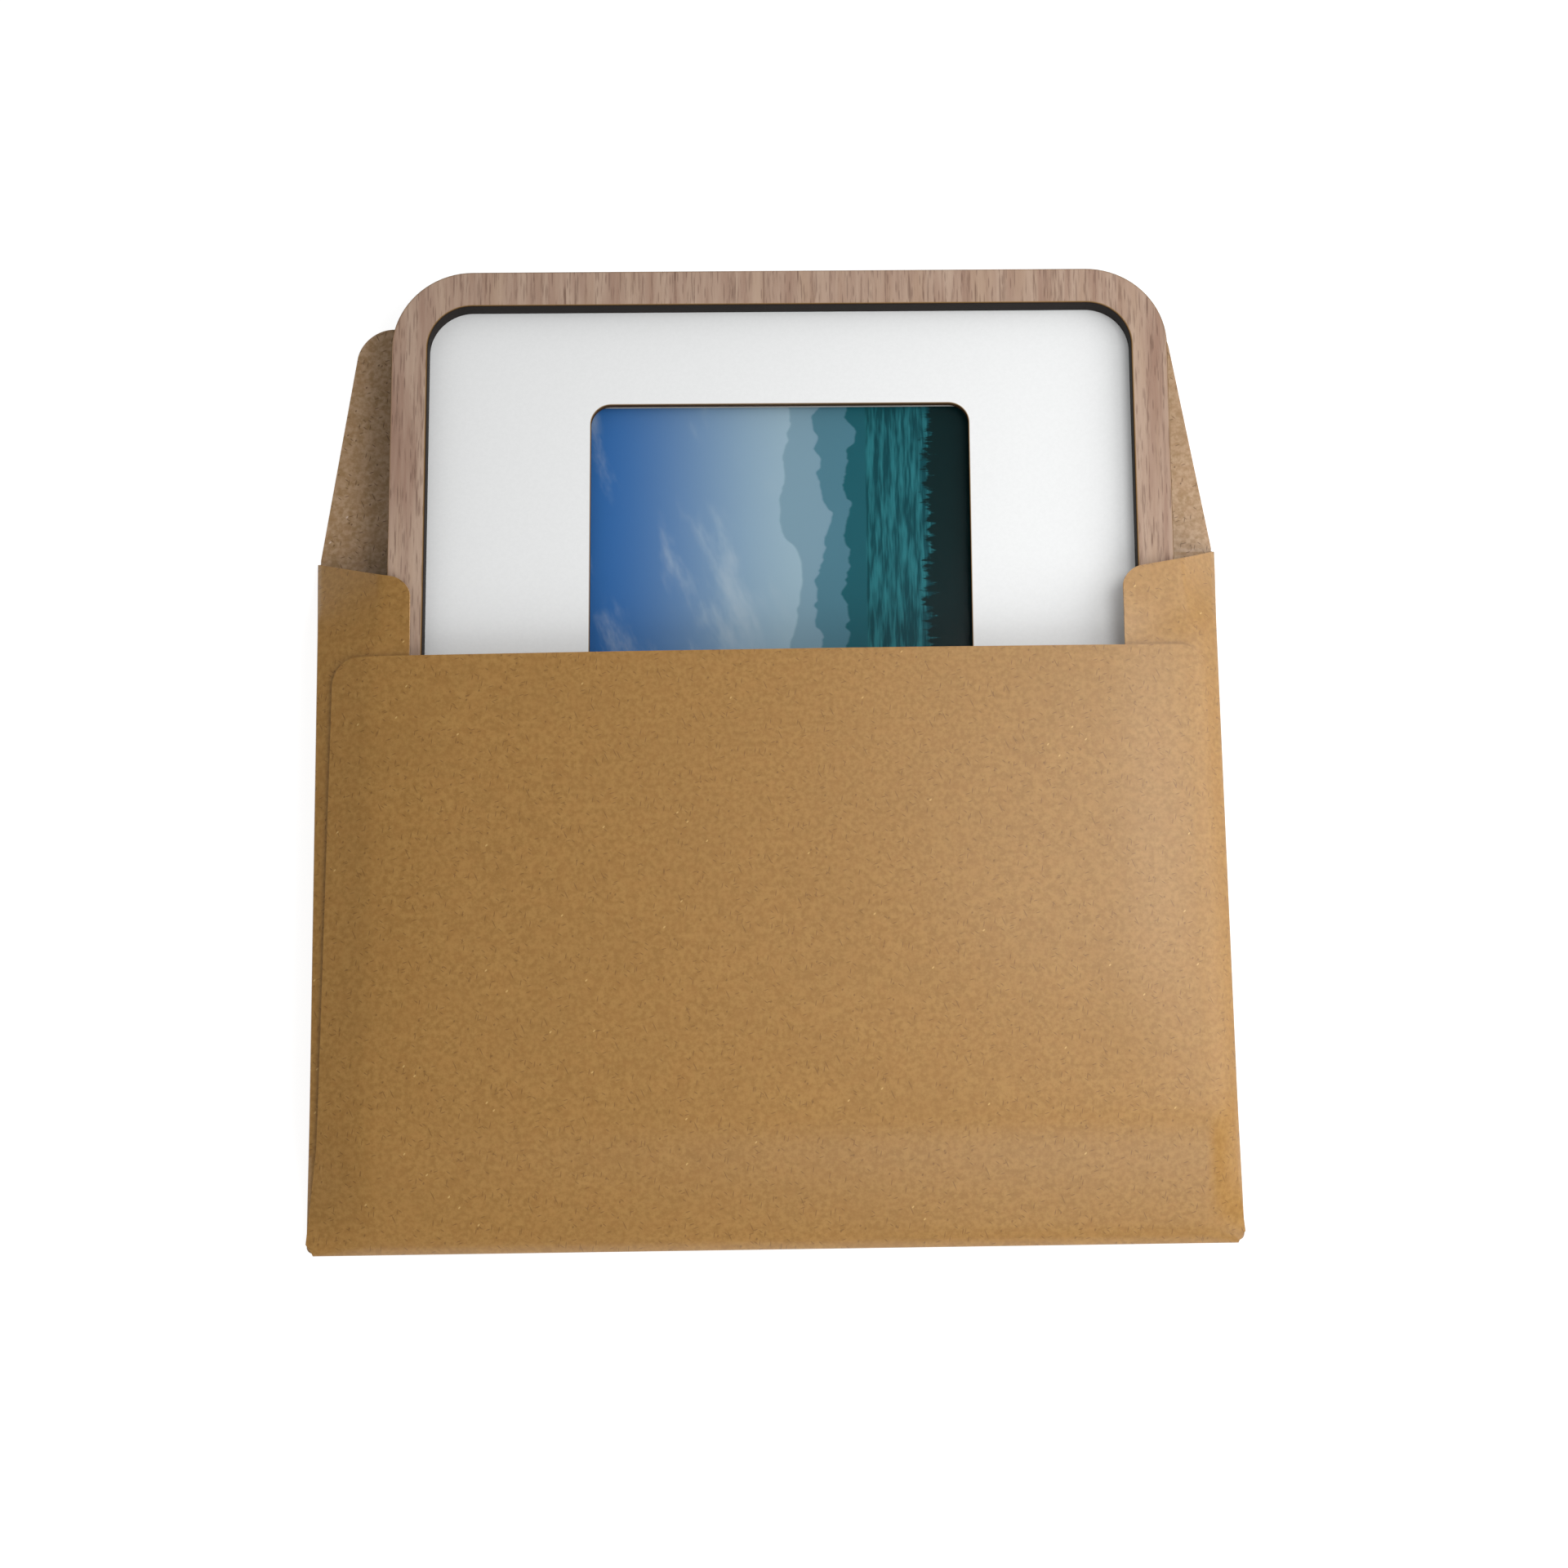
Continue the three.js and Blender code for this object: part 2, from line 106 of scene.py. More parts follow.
# The frame lies slightly turned in the envelope
SLIDE_AXIS = JOINTS["tray_slide"]["axis"]
FRAME_TURN = -math.atan2(SLIDE_AXIS[0], SLIDE_AXIS[1])
FRAME_MIDDLE = (BEZEL_LOW + BEZEL_HIGH) / 2
FRAME_PLACE = Matrix.Translation((FRAME_MIDDLE.x, FRAME_MIDDLE.y, 0)) @ Matrix.Rotation(FRAME_TURN, 4, "Z")


def linear(hex_colour):
    """Turns an sRGB hex colour into the linear colour that Blender's sockets take."""
    channels = [int(hex_colour[start:start + 2], 16) / 255 for start in (1, 3, 5)]
    return [c / 12.92 if c <= 0.04045 else ((c + 0.055) / 1.055) ** 2.4 for c in channels]


def opaque(colour):
    """Adds the alpha that a colour socket holds to a linear colour."""
    return (*colour, 1.0)


# Sizes and colours that a user would change

class KraftSettings(bpy.types.PropertyGroup):
    """Sizes and colours of the folded kraft envelope."""

    side_slant: FloatProperty(
        name="Side flap slant", description="Slope of the side flaps' ends, before they are folded in",
        default=math.radians(9.2), subtype="ANGLE",
    )
    side_corner: FloatProperty(
        name="Side flap corner", description="Corner radius of the side flaps",
        default=3.8 * MM, subtype="DISTANCE",
    )
    pocket_taper: FloatProperty(
        name="Pocket taper", description="How much each side of the pocket draws in from foot to mouth",
        default=3.2 * MM, subtype="DISTANCE",
    )
    pocket_corner: FloatProperty(
        name="Pocket corner", description="Corner radius at the pocket's mouth",
        default=4.5 * MM, subtype="DISTANCE",
    )
    flap_taper: FloatProperty(
        name="Closure flap taper", description="Slope of the closure flap's sides",
        default=math.radians(8.9), subtype="ANGLE",
    )
    flap_corner: FloatProperty(
        name="Closure flap corner", description="Corner radius of the closure flap",
        default=6 * MM, subtype="DISTANCE",
    )
    panel_corner: FloatProperty(
        name="Back panel corner", description="Corner radius at the bottom of the back panel",
        default=1 * MM, subtype="DISTANCE",
    )
    fold_radius: FloatProperty(
        name="Fold radius", description="Radius of the folds at the middle of the paper",
        default=0.3 * MM, subtype="DISTANCE",
    )
    drape_margin: FloatProperty(
        name="Drape margin", description="How far the paper stays level past the frame's edge",
        default=0.6 * MM, subtype="DISTANCE",
    )
    drape_bend: FloatProperty(
        name="Drape bend", description="How softly the paper bends over the frame's sides",
        default=4 * MM, subtype="DISTANCE",
    )
    foot_bend: FloatProperty(
        name="Foot bend", description="How softly the paper bends down to its bottom fold",
        default=13 * MM, subtype="DISTANCE",
    )
    fold_lift: FloatProperty(
        name="Fold lift", description="How high the side folds stand off the table, half way along",
        default=6.3 * MM, subtype="DISTANCE",
    )
    puff: FloatProperty(
        name="Puff", description="How far the side flaps push the pocket up, off the frame",
        default=1.4 * MM, subtype="DISTANCE",
    )
    flap_spring: FloatProperty(
        name="Side flap spring",
        description="How steeply the side flaps' free edges spring up past the mouth",
        default=math.radians(12), subtype="ANGLE",
    )
    waviness: FloatProperty(
        name="Waviness", description="Height of the slow waves in the paper",
        default=0.06 * MM, subtype="DISTANCE",
    )
    outside: FloatVectorProperty(
        name="Outside", description="Kraft paper on the envelope's outside",
        default=linear("#a57938"), subtype="COLOR",
    )
    inside: FloatVectorProperty(
        name="Inside", description="Greyer kraft paper on the envelope's inside",
        default=linear("#b39069"), subtype="COLOR",
    )


class FrameSettings(bpy.types.PropertyGroup):
    """Sizes and colours of the layered frame."""

    corner: FloatProperty(
        name="Frame corner", description="Outer corner radius of the wooden layers",
        default=13 * MM, subtype="DISTANCE",
    )
    bezel_width: FloatProperty(
        name="Bezel width", description="Width of the walnut bars",
        default=5.9 * MM, subtype="DISTANCE",
    )
    edge_ease: FloatProperty(
        name="Edge ease", description="How far the bezel's edges are sanded round",
        default=0.12 * MM, subtype="DISTANCE",
    )
    scorch_width: FloatProperty(
        name="Scorch width", description="Width of the browned line beside the laser-cut edge",
        default=0.42 * MM, subtype="DISTANCE",
    )
    window_length: FloatProperty(
        name="Window length", description="Length of the mat's window",
        default=61.5 * MM, subtype="DISTANCE",
    )
    window_depth: FloatProperty(
        name="Window depth", description="Depth of the mat's window",
        default=45.5 * MM, subtype="DISTANCE",
    )
    window_corner: FloatProperty(
        name="Window corner", description="Corner radius of the mat's window",
        default=3.3 * MM, subtype="DISTANCE",
    )
    image_length: FloatProperty(
        name="Image length", description="Long side of the print's picture",
        default=62 * MM, subtype="DISTANCE",
    )
    image_width: FloatProperty(
        name="Image width", description="Short side of the print's picture",
        default=46 * MM, subtype="DISTANCE",
    )
    print_corner: FloatProperty(
        name="Print corner", description="Corner radius of the instant print",
        default=1 * MM, subtype="DISTANCE",
    )
    walnut_light: FloatVectorProperty(
        name="Walnut, light", description="Pale wood between the grain lines",
        default=linear("#b9a08d"), subtype="COLOR",
    )
    walnut_dark: FloatVectorProperty(
        name="Walnut, dark", description="Darker bands of the grain",
        default=linear("#9a7b6a"), subtype="COLOR",
    )
    mat: FloatVectorProperty(
        name="Mat", description="White mat board", default=linear("#edeeee"), subtype="COLOR",
    )


class StageSettings(bpy.types.PropertyGroup):
    """Lamps and camera."""

    fill: FloatProperty(name="Fill", description="Strength of the light from all round", default=0.5)
    lamp_power: FloatProperty(
        name="Lamp power", description="Factor on the soft lamps on the right", default=1.0,
    )
    aim: FloatVectorProperty(
        name="Aim", description="Point that the camera looks at",
        default=(2.38 * MM, -5.13 * MM, 0.0), subtype="TRANSLATION",
    )
    distance: FloatProperty(
        name="Distance", description="From the camera to the point that it looks at",
        default=511.5 * MM, subtype="DISTANCE",
    )
    tilt: FloatProperty(
        name="Tilt", description="Camera's lean off the vertical", default=0.2128, subtype="ANGLE",
    )
    roll: FloatProperty(
        name="Roll", description="Camera's turn about its own axis", default=-0.0150, subtype="ANGLE",
    )
    focal_length: FloatProperty(
        name="Focal length", description="Lens on a 36 mm sensor", default=73.125, unit="CAMERA",
    )


# Mesh helpers

def lines(start, end, pitch):
    """Evenly spaced places from start to end, no further apart than about the pitch."""
    count = max(1, round((end - start) / pitch))
    return [start + (end - start) * step / count for step in range(count + 1)]


def outline_face(bm, corners):
    """Adds a flat face; each corner is (x, y, radius) and is rounded to its radius."""
    points = [Vector((x, y, 0)) for x, y, _ in corners]
    verts = [bm.verts.new(point) for point in points]
    bm.faces.new(verts)
    for index, vert in enumerate(verts):
        radius = corners[index][2]
        if radius:
            before = points[index - 1] - points[index]
            after = points[(index + 1) % len(points)] - points[index]
            bmesh.ops.bevel(
                bm, geom=[vert], offset=radius / math.tan(before.angle(after) / 2),
                segments=CORNER_SEGMENTS, profile=0.5, affect="VERTICES", material=-1,
            )


def slice_sheet(bm, normal, places):
    """Cuts a flat sheet along lines, so that it can bend there."""
    for place in places:
        bmesh.ops.bisect_plane(
            bm, geom=bm.verts[:] + bm.edges[:] + bm.faces[:], dist=CUT_SNAP,
            plane_co=Vector(normal) * place, plane_no=normal,
        )


def thicken(bm, thickness):
    """Gives a sheet its thickness about its middle, and its faces the material of their side."""
    bm.normal_update()
    lift = bm.verts.layers.float_vector.new("lift")
    for vert in bm.verts:
        vert[lift] = vert.normal * thickness
        vert.co -= vert.normal * thickness / 2
    inside = bm.faces[:]
    grown = bmesh.ops.extrude_face_region(bm, geom=inside + bm.edges[:], use_keep_orig=True)["geom"]
    outside = [part for part in grown if isinstance(part, bmesh.types.BMFace)]
    for vert in {vert for face in outside for vert in face.verts}:
        vert.co += vert[lift]
    for faces, side in ((bm.faces, CUT_EDGE), (inside, INSIDE), (outside, OUTSIDE)):
        for face in faces:
            face.material_index = side
    bmesh.ops.reverse_faces(bm, faces=inside)
    bm.verts.layers.float_vector.remove(lift)


def rounded_loop(bm, length, depth, corner, height, middle=(0, 0)):
    """Adds a closed loop of edges, a rectangle with round corners, and returns its edges."""
    earlier = set(bm.edges)
    sides = ((-1, -1), (1, -1), (1, 1), (-1, 1))
    verts = [
        bm.verts.new((middle[0] + x * length / 2, middle[1] + y * depth / 2, height)) for x, y in sides
    ]
    bm.faces.new(verts)
    bmesh.ops.bevel(
        bm, geom=verts, offset=corner, segments=CORNER_SEGMENTS, profile=0.5,
        affect="VERTICES", material=-1,
    )
    edges = [edge for edge in bm.edges if edge not in earlier]
    inner = {face for edge in edges for face in edge.link_faces}
    bmesh.ops.delete(bm, geom=list(inner), context="FACES_ONLY")
    return edges


def fill_between(bm, *loops):
    """Fills the flat space inside the first loop and outside the others."""
    edges = [edge for loop in loops for edge in loop]
    filled = bmesh.ops.triangle_fill(bm, edges=edges, use_beauty=True, normal=(0, 0, 1))["geom"]
    return [part for part in filled if isinstance(part, bmesh.types.BMFace)]


def raise_plate(bm, faces, rise):
    """Raises flat faces to a closed plate, and returns the faces of its raised side."""
    grown = bmesh.ops.extrude_face_region(bm, geom=faces)["geom"]
    raised = [part for part in grown if isinstance(part, bmesh.types.BMVert)]
    bmesh.ops.translate(bm, vec=(0, 0, rise), verts=raised)
    bmesh.ops.recalc_face_normals(bm, faces=bm.faces[:])
    return [part for part in grown if isinstance(part, bmesh.types.BMFace)]


def ease_rim(bm, height, radius):
    """Rounds the sharp edges that lie at one height."""
    rim = [
        edge for edge in bm.edges
        if edge.calc_face_angle(0) > SQUARE_ANGLE
        and all(abs(vert.co.z - height) < radius / 10 for vert in edge.verts)
    ]
    bmesh.ops.bevel(
        bm, geom=rim, offset=radius, segments=RIM_SEGMENTS, profile=0.5, affect="EDGES", material=-1,
    )


def outside_by(point, length, depth, corner):
    """How far a point lies outside a rectangle with round corners; it is negative inside."""
    x = abs(point.x) - length / 2 + corner
    y = abs(point.y) - depth / 2 + corner
    return math.hypot(max(x, 0), max(y, 0)) + min(max(x, y), 0) - corner


def mark_scorch(bm, heat):
    """Keeps on each point how far the laser has browned it there: 0 is clean and 1 is charred."""
    layer = bm.verts.layers.float.new("scorch")
    for vert in bm.verts:
        vert[layer] = min(max(heat(vert.co), 0), 1)


def finish_piece(name, bm, materials, slot, *nodes):
    """Makes the object of a finished mesh, with its materials and the nodes that it stands for; the slot is
    not used.
    """
    mesh = bpy.data.meshes.new(name)
    for face in bm.faces:
        face.smooth = True
    bm.to_mesh(mesh)
    bm.free()
    mesh.set_sharp_from_angle(angle=SMOOTH_ANGLE)
    for material in materials:
        mesh.materials.append(material)
    piece = bpy.data.objects.new(name, mesh)
    bpy.context.scene.collection.objects.link(piece)
    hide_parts(*nodes)
    return piece


def flat_size(node, corner):
    """Length and depth of a node with round corners, as if the frame lay square in the envelope."""
    low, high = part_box(node)
    half = (high - low) / 2
    cosine, sine = math.cos(FRAME_TURN), abs(math.sin(FRAME_TURN))
    scale = 2 / (cosine ** 2 - sine ** 2)
    length = ((half.x - corner) * cosine - (half.y - corner) * sine) * scale
    depth = ((half.y - corner) * cosine - (half.x - corner) * sine) * scale
    return length + 2 * corner, depth + 2 * corner


# Material helpers

def add_node(tree, kind, inputs=(), **settings):
    """Adds a node with its settings; inputs, by name or in order, are values or other nodes' sockets."""
    node = tree.nodes.new(kind)
    for name, value in settings.items():
        setattr(node, name, value)
    for socket, value in inputs.items() if isinstance(inputs, dict) else enumerate(inputs):
        if isinstance(value, bpy.types.NodeSocket):
            tree.links.new(value, node.inputs[socket])
        else:
            node.inputs[socket].default_value = value
    return node


def new_material(name):
    """Starts a material with an empty tree."""
    material = bpy.data.materials.new(name)
    material.use_nodes = True
    material.node_tree.nodes.clear()
    return material, material.node_tree


def shade(tree, inputs, height=None, strength=0.0, depth=0.0):
    """Ends a material with its surface shader; a height pattern gives it relief of a real depth."""
    if height is not None:
        relief = {"Height": height, "Strength": strength, "Distance": depth}
        inputs = {**inputs, "Normal": add_node(tree, "ShaderNodeBump", relief).outputs["Normal"]}
    surface = add_node(tree, "ShaderNodeBsdfPrincipled", inputs)
    add_node(tree, "ShaderNodeOutputMaterial", {"Surface": surface.outputs["BSDF"]})


def pattern_space(tree, size, turn=0.0, origin=(0, 0, 0)):
    """Object coordinates, turned and divided by a real size, so that one unit is one repeat of it."""
    place = add_node(tree, "ShaderNodeTexCoord")
    inputs = {
        "Vector": place.outputs["Object"], "Location": origin, "Rotation": (0, 0, turn), "Scale": size,
    }
    return add_node(tree, "ShaderNodeMapping", inputs, vector_type="TEXTURE").outputs["Vector"]


def mottle(tree, size, detail=3.0, turn=0.0, origin=(0, 0, 0)):
    """Cloudy pattern about a half, whose blotches have one real size or one for each axis."""
    sizes = size if isinstance(size, tuple) else (size, size, size)
    inputs = {
        "Vector": pattern_space(tree, sizes, turn, origin),
        "Scale": 1.0, "Detail": detail, "Roughness": 0.6,
    }
    return add_node(tree, "ShaderNodeTexNoise", inputs, noise_dimensions="3D").outputs["Fac"]


def cover(tree, base, colour, pattern, low=0.35, high=0.65, amount=1.0, curve="SMOOTHSTEP"):
    """Lays a colour over a base as a pattern goes from low to high, up to an amount."""
    inputs = {"Value": pattern, "From Min": low, "From Max": high, "To Max": amount}
    share = add_node(tree, "ShaderNodeMapRange", inputs, interpolation_type=curve).outputs["Result"]
    return add_node(tree, "ShaderNodeMix", {0: share, 6: base, 7: colour}, data_type="RGBA").outputs[2]


def flecks(tree, size, pitch, share, turn=0.0, origin=(0, 0, 0)):
    """Mask of separate flecks of a real size: one in each cell of the pitch, in a share of the cells."""
    space = pattern_space(tree, (size[0] * pitch, size[1] * pitch, 1), turn, origin)
    cells = add_node(tree, "ShaderNodeTexVoronoi", {"Vector": space, "Scale": 1.0}, voronoi_dimensions="2D")
    pick = add_node(tree, "ShaderNodeSeparateColor", {"Color": cells.outputs["Color"]}).outputs["Red"]
    inputs = {
        "Value": cells.outputs["Distance"], "From Min": 0.5 / pitch, "From Max": 0.25 / pitch,
        "To Max": add_node(tree, "ShaderNodeMath", (pick, share), operation="LESS_THAN").outputs[0],
    }
    return add_node(tree, "ShaderNodeMapRange", inputs, interpolation_type="SMOOTHSTEP").outputs["Result"]


def scatter(tree, layers, pitch):
    """Mask of several layers of flecks; each gives their size, share, turn and shift."""
    mask = 0.0
    for size, share, turn, shift in layers:
        layer = flecks(tree, size, pitch, share, turn, (shift, 2 * shift, 0))
        mask = add_node(tree, "ShaderNodeMath", (mask, layer), operation="MAXIMUM").outputs[0]
    return mask


def times(colour, *factors):
    """Opaque colour whose channels are multiplied, by one factor or by one each."""
    factors = factors if len(factors) > 1 else factors * 3
    return opaque([min(channel * factor, 1.0) for channel, factor in zip(colour, factors)])


# Materials

# Single fibres are too fine to show, so each of these is drawn as coarse as a bundle of them
FIBRES = (
    ((1.0 * MM, 0.2 * MM), 0.3, 0.3, 0), ((1.2 * MM, 0.2 * MM), 0.3, 1.4, 13 * MM),
    ((0.9 * MM, 0.2 * MM), 0.3, 2.5, 27 * MM), ((1.9 * MM, 0.2 * MM), 0.1, 2.0, 41 * MM),
    ((0.5 * MM, 0.36 * MM), 0.12, 1.1, 53 * MM),
)
FIBRE_PITCH = 4.4
PALE_FIBRE = (0.6 * MM, 0.3 * MM)
PALE_PITCH = 8.0
PALE_SHARE = 0.06


def kraft_paper(name, colour, contrast):
    """Unbleached kraft paper, pressed on a hot roll: even pulp, dark and pale fibres, a dull sheen."""
    material, tree = new_material(name)
    pulp = mottle(tree, 0.8 * MM)
    thin, dense = (
        times(colour, 1 + 0.13 * step, 1 + 0.17 * step, 1 + 0.3 * step) for step in (-contrast, contrast)
    )
    paper = cover(tree, thin, dense, pulp, 0.3, 0.7)
    warm = mottle(tree, 2.4 * MM, 2.0, origin=(31 * MM, 7 * MM, 0))
    paper = cover(tree, paper, times(colour, 1.03, 0.93, 0.88), warm, 0.35, 0.7, 0.3)
    cloud = mottle(tree, 11 * MM, 2.0, origin=(5 * MM, 3 * MM, 0))
    paper = cover(tree, paper, times(colour, 0.86), cloud, 0.35, 0.7, 0.18)
    fibre = scatter(tree, FIBRES, FIBRE_PITCH)
    paper = cover(tree, paper, times(colour, 0.48, 0.4, 0.28), fibre, 0, 1, 0.6 * contrast, "LINEAR")
    pale = flecks(tree, PALE_FIBRE, PALE_PITCH, PALE_SHARE, 0.8, (5 * MM, 9 * MM, 0))
    paper = cover(tree, paper, times(colour, 1.8, 2.3, 3.8), pale, 0, 1, 0.7, "LINEAR")
    height = add_node(tree, "ShaderNodeMath", (fibre, 0.2, pulp), operation="MULTIPLY_ADD").outputs[0]
    sheen = {"Base Color": paper, "Roughness": 0.42, "Specular IOR Level": 0.85}
    shade(tree, sheen, height, 0.3, 0.04 * MM)
    return material


def kraft_cut_edge(colour):
    """Cut edge of the kraft paper: paler, open fibres."""
    material, tree = new_material("kraft_cut_edge")
    edge = cover(tree, opaque(colour), times(colour, 1.5), mottle(tree, 0.4 * MM, 2.0))
    shade(tree, {"Base Color": edge, "Roughness": 0.85, "Specular IOR Level": 0.2})
    return material


# Heat from which and up to which each colour comes in: golden, brown, charcoal
SCORCH = ((0.05, 0.5, "#8a6a3a"), (0.4, 0.75, "#4a3420"), (0.7, 1.0, "#1b130f"))


def scorch_over(tree, colour):
    """Lays the laser's heat over a colour: golden brown beside the cut, then charcoal on its wall."""
    heat = add_node(tree, "ShaderNodeAttribute", attribute_name="scorch").outputs["Fac"]
    for low, high, burnt in SCORCH:
        colour = cover(tree, colour, opaque(linear(burnt)), heat, low, high)
    return colour


# Open pores are drawn slightly wider than they are, so that they show
PORES = (
    ((0.3 * MM, 4.5 * MM), 0.5, FRAME_TURN, 0), ((0.26 * MM, 2.4 * MM), 0.5, FRAME_TURN, 17 * MM),
    ((0.34 * MM, 7 * MM), 0.3, FRAME_TURN, 33 * MM),
)
PORE_PITCH = 2.4


def sanded_walnut(light, dark):
    """Bare walnut, sanded, cut by laser: soft bands, thin dark grain lines and short open pores along Y."""
    material, tree = new_material("sanded_walnut")
    bands = mottle(tree, (2.6 * MM, 38 * MM, 9 * MM), 4.0, FRAME_TURN)
    wood = cover(tree, opaque(dark), opaque(light), bands, 0.25, 0.7)
    ochre = mottle(tree, (4 * MM, 30 * MM, 9 * MM), 2.0, FRAME_TURN, (21 * MM, 400 * MM, 0))
    wood = cover(tree, wood, opaque(linear("#b0937a")), ochre, 0.45, 0.75, 0.4)
    grain = mottle(tree, (0.42 * MM, 6 * MM, 6 * MM), 4.0, FRAME_TURN, (55 * MM, 100 * MM, 0))
    wood = cover(tree, wood, opaque(linear("#7a6051")), grain, 0.5, 0.7, 0.6)
    pores = scatter(tree, PORES, PORE_PITCH)
    wood = cover(tree, wood, opaque(linear("#644a3e")), pores, 0, 1, 0.4, "LINEAR")
    height = add_node(tree, "ShaderNodeMath", (pores, -0.4, grain), operation="MULTIPLY_ADD").outputs[0]
    dull = {"Base Color": scorch_over(tree, wood), "Roughness": 0.65, "Specular IOR Level": 0.2}
    shade(tree, dull, height, 0.3, 0.06 * MM)
    return material


def cut_plywood():
    """Birch plywood cut by laser: pale flat grain on its faces and charred plies on its walls."""
    material, tree = new_material("cut_plywood")
    bands = mottle(tree, (3 * MM, 60 * MM, 9 * MM), 3.0, FRAME_TURN)
    wood = cover(tree, opaque(linear("#b8935f")), opaque(linear("#d2b284")), bands)
    grain = mottle(tree, (0.5 * MM, 14 * MM, 6 * MM), 2.0, FRAME_TURN)
    wood = cover(tree, wood, opaque(linear("#94703f")), grain, 0.55, 0.75, 0.4)
    plies = mottle(tree, (30 * MM, 30 * MM, 0.35 * MM), 1.0)
    char = cover(tree, opaque(linear("#241a14")), opaque(linear("#4b3524")), plies, 0.4, 0.6)
    normal = add_node(tree, "ShaderNodeTexCoord").outputs["Normal"]
    facing = add_node(tree, "ShaderNodeSeparateXYZ", {"Vector": normal}).outputs["Z"]
    level = add_node(tree, "ShaderNodeMath", (facing,), operation="ABSOLUTE").outputs[0]
    board = cover(tree, char, wood, level, 0.4, 0.8)
    dull = {"Base Color": board, "Roughness": 0.65, "Specular IOR Level": 0.35}
    shade(tree, dull, grain, 0.25, 0.05 * MM)
    return material


def white_mat_board(colour):
    """White mat board: a faint felt tooth, and a browned wall where the window is cut by laser."""
    material, tree = new_material("white_mat_board")
    tooth = mottle(tree, 0.5 * MM)
    board = scorch_over(tree, cover(tree, times(colour, 0.98), opaque(colour), tooth))
    shade(tree, {"Base Color": board, "Roughness": 0.8, "Specular IOR Level": 0.25}, tooth, 0.15, 0.03 * MM)
    return material


def clear_acrylic():
    """Thin clear sheet: it shows what is behind it and keeps a faint polished reflection."""
    material, tree = new_material("clear_acrylic")
    smears = mottle(tree, 12 * MM, 2.0)
    inputs = {"Value": smears, "From Min": 0.3, "From Max": 0.7, "To Min": 0.03, "To Max": 0.07}
    polish = add_node(tree, "ShaderNodeMapRange", inputs, interpolation_type="SMOOTHSTEP").outputs["Result"]
    shade(tree, {"Base Color": opaque(linear("#20282a")), "Roughness": polish, "IOR": 1.49, "Alpha": 0.06})
    return material


def print_border():
    """White coated border and back of an instant print: smooth, with a slight pebble in its gloss."""
    material, tree = new_material("print_border")
    pebble = mottle(tree, 0.8 * MM, 1.0)
    coat = cover(tree, opaque(linear("#e2e2de")), opaque(linear("#ebebe7")), pebble, 0, 1, 1, "LINEAR")
    shade(tree, {"Base Color": coat, "Roughness": 0.35}, pebble, 0.1, 0.02 * MM)
    return material


# Level, rise and peak spacing of each ridge, as shares of the picture, and its colour, from the far one on
RIDGES = (
    (-0.02, 0.20, 0.42, "#86a9bb"), (-0.10, 0.17, 0.30, "#56889a"), (-0.17, 0.12, 0.20, "#1f6470"),
)
RIDGE_SHIFT = 5.3
RIDGE_EDGE = 0.008


def print_picture(middle, length, width):
    """Glossy picture of a mountain lake, its sky towards -X: haze, three ridges, water and a dark shore."""
    material, tree = new_material("print_picture")
    space = pattern_space(tree, (width, length, 1), FRAME_TURN + math.pi / 2, middle)
    axes = add_node(tree, "ShaderNodeSeparateXYZ", {"Vector": space}).outputs
    across, up = axes["X"], axes["Y"]
    picture = cover(tree, opaque(linear("#a9c6d4")), opaque(linear("#3673ba")), up, -0.12, 0.5)
    wisps = mottle(tree, (9 * MM, 26 * MM, 9 * MM), 5.0, FRAME_TURN + 0.35)
    picture = cover(tree, picture, opaque(linear("#d3e2e8")), wisps, 0.52, 0.78, 0.55)
    for number, (level, rise, pitch, colour) in enumerate(RIDGES):
        peaks = (across, 1 / pitch, RIDGE_SHIFT * number)
        along = add_node(tree, "ShaderNodeMath", peaks, operation="MULTIPLY_ADD").outputs[0]
        jagged = {"W": along, "Scale": 1.0, "Detail": 5.0}
        crest = add_node(tree, "ShaderNodeTexNoise", jagged, noise_dimensions="1D").outputs["Fac"]
        heights = (crest, rise, level - rise / 2)
        top = add_node(tree, "ShaderNodeMath", heights, operation="MULTIPLY_ADD").outputs[0]
        below = add_node(tree, "ShaderNodeMath", (top, up), operation="SUBTRACT").outputs[0]
        picture = cover(tree, picture, opaque(linear(colour)), below, 0, RIDGE_EDGE)
    ripples = mottle(tree, (0.7 * MM, 7 * MM, 5 * MM), 2.0, FRAME_TURN)
    water = cover(tree, opaque(linear("#0b4c55")), opaque(linear("#2b7f88")), ripples, 0.35, 0.7)
    picture = cover(tree, picture, water, up, -0.222, -0.228)
    grass = mottle(tree, (3 * MM, 0.9 * MM, 3 * MM), 4.0, FRAME_TURN)
    bank = add_node(tree, "ShaderNodeMath", (grass, -0.12, up), operation="MULTIPLY_ADD").outputs[0]
    picture = cover(tree, picture, opaque(linear("#08282a")), bank, -0.435, -0.455)
    shade(tree, {"Base Color": picture, "Roughness": 0.25, "Specular IOR Level": 0.4})
    return material


def dried_gum(name, colour):
    """Dried water-activated gum: a glossy film with a slow ripple."""
    material, tree = new_material(name)
    ripple = mottle(tree, 2.2 * MM, 2.0)
    film = cover(tree, times(colour, 0.85), opaque(colour), ripple)
    shade(tree, {"Base Color": film, "Roughness": 0.3}, ripple, 0.4, 0.05 * MM)
    return material


def adhesive_film():
    """Double-sided adhesive film, seen as a thin tan line between the wooden layers."""
    material, tree = new_material("adhesive_film")
    dust = mottle(tree, (0.8 * MM, 0.8 * MM, 0.2 * MM))
    film = cover(tree, opaque(linear("#5a452f")), opaque(linear("#7a6245")), dust)
    shade(tree, {"Base Color": film, "Roughness": 0.5})
    return material


# Draped paper

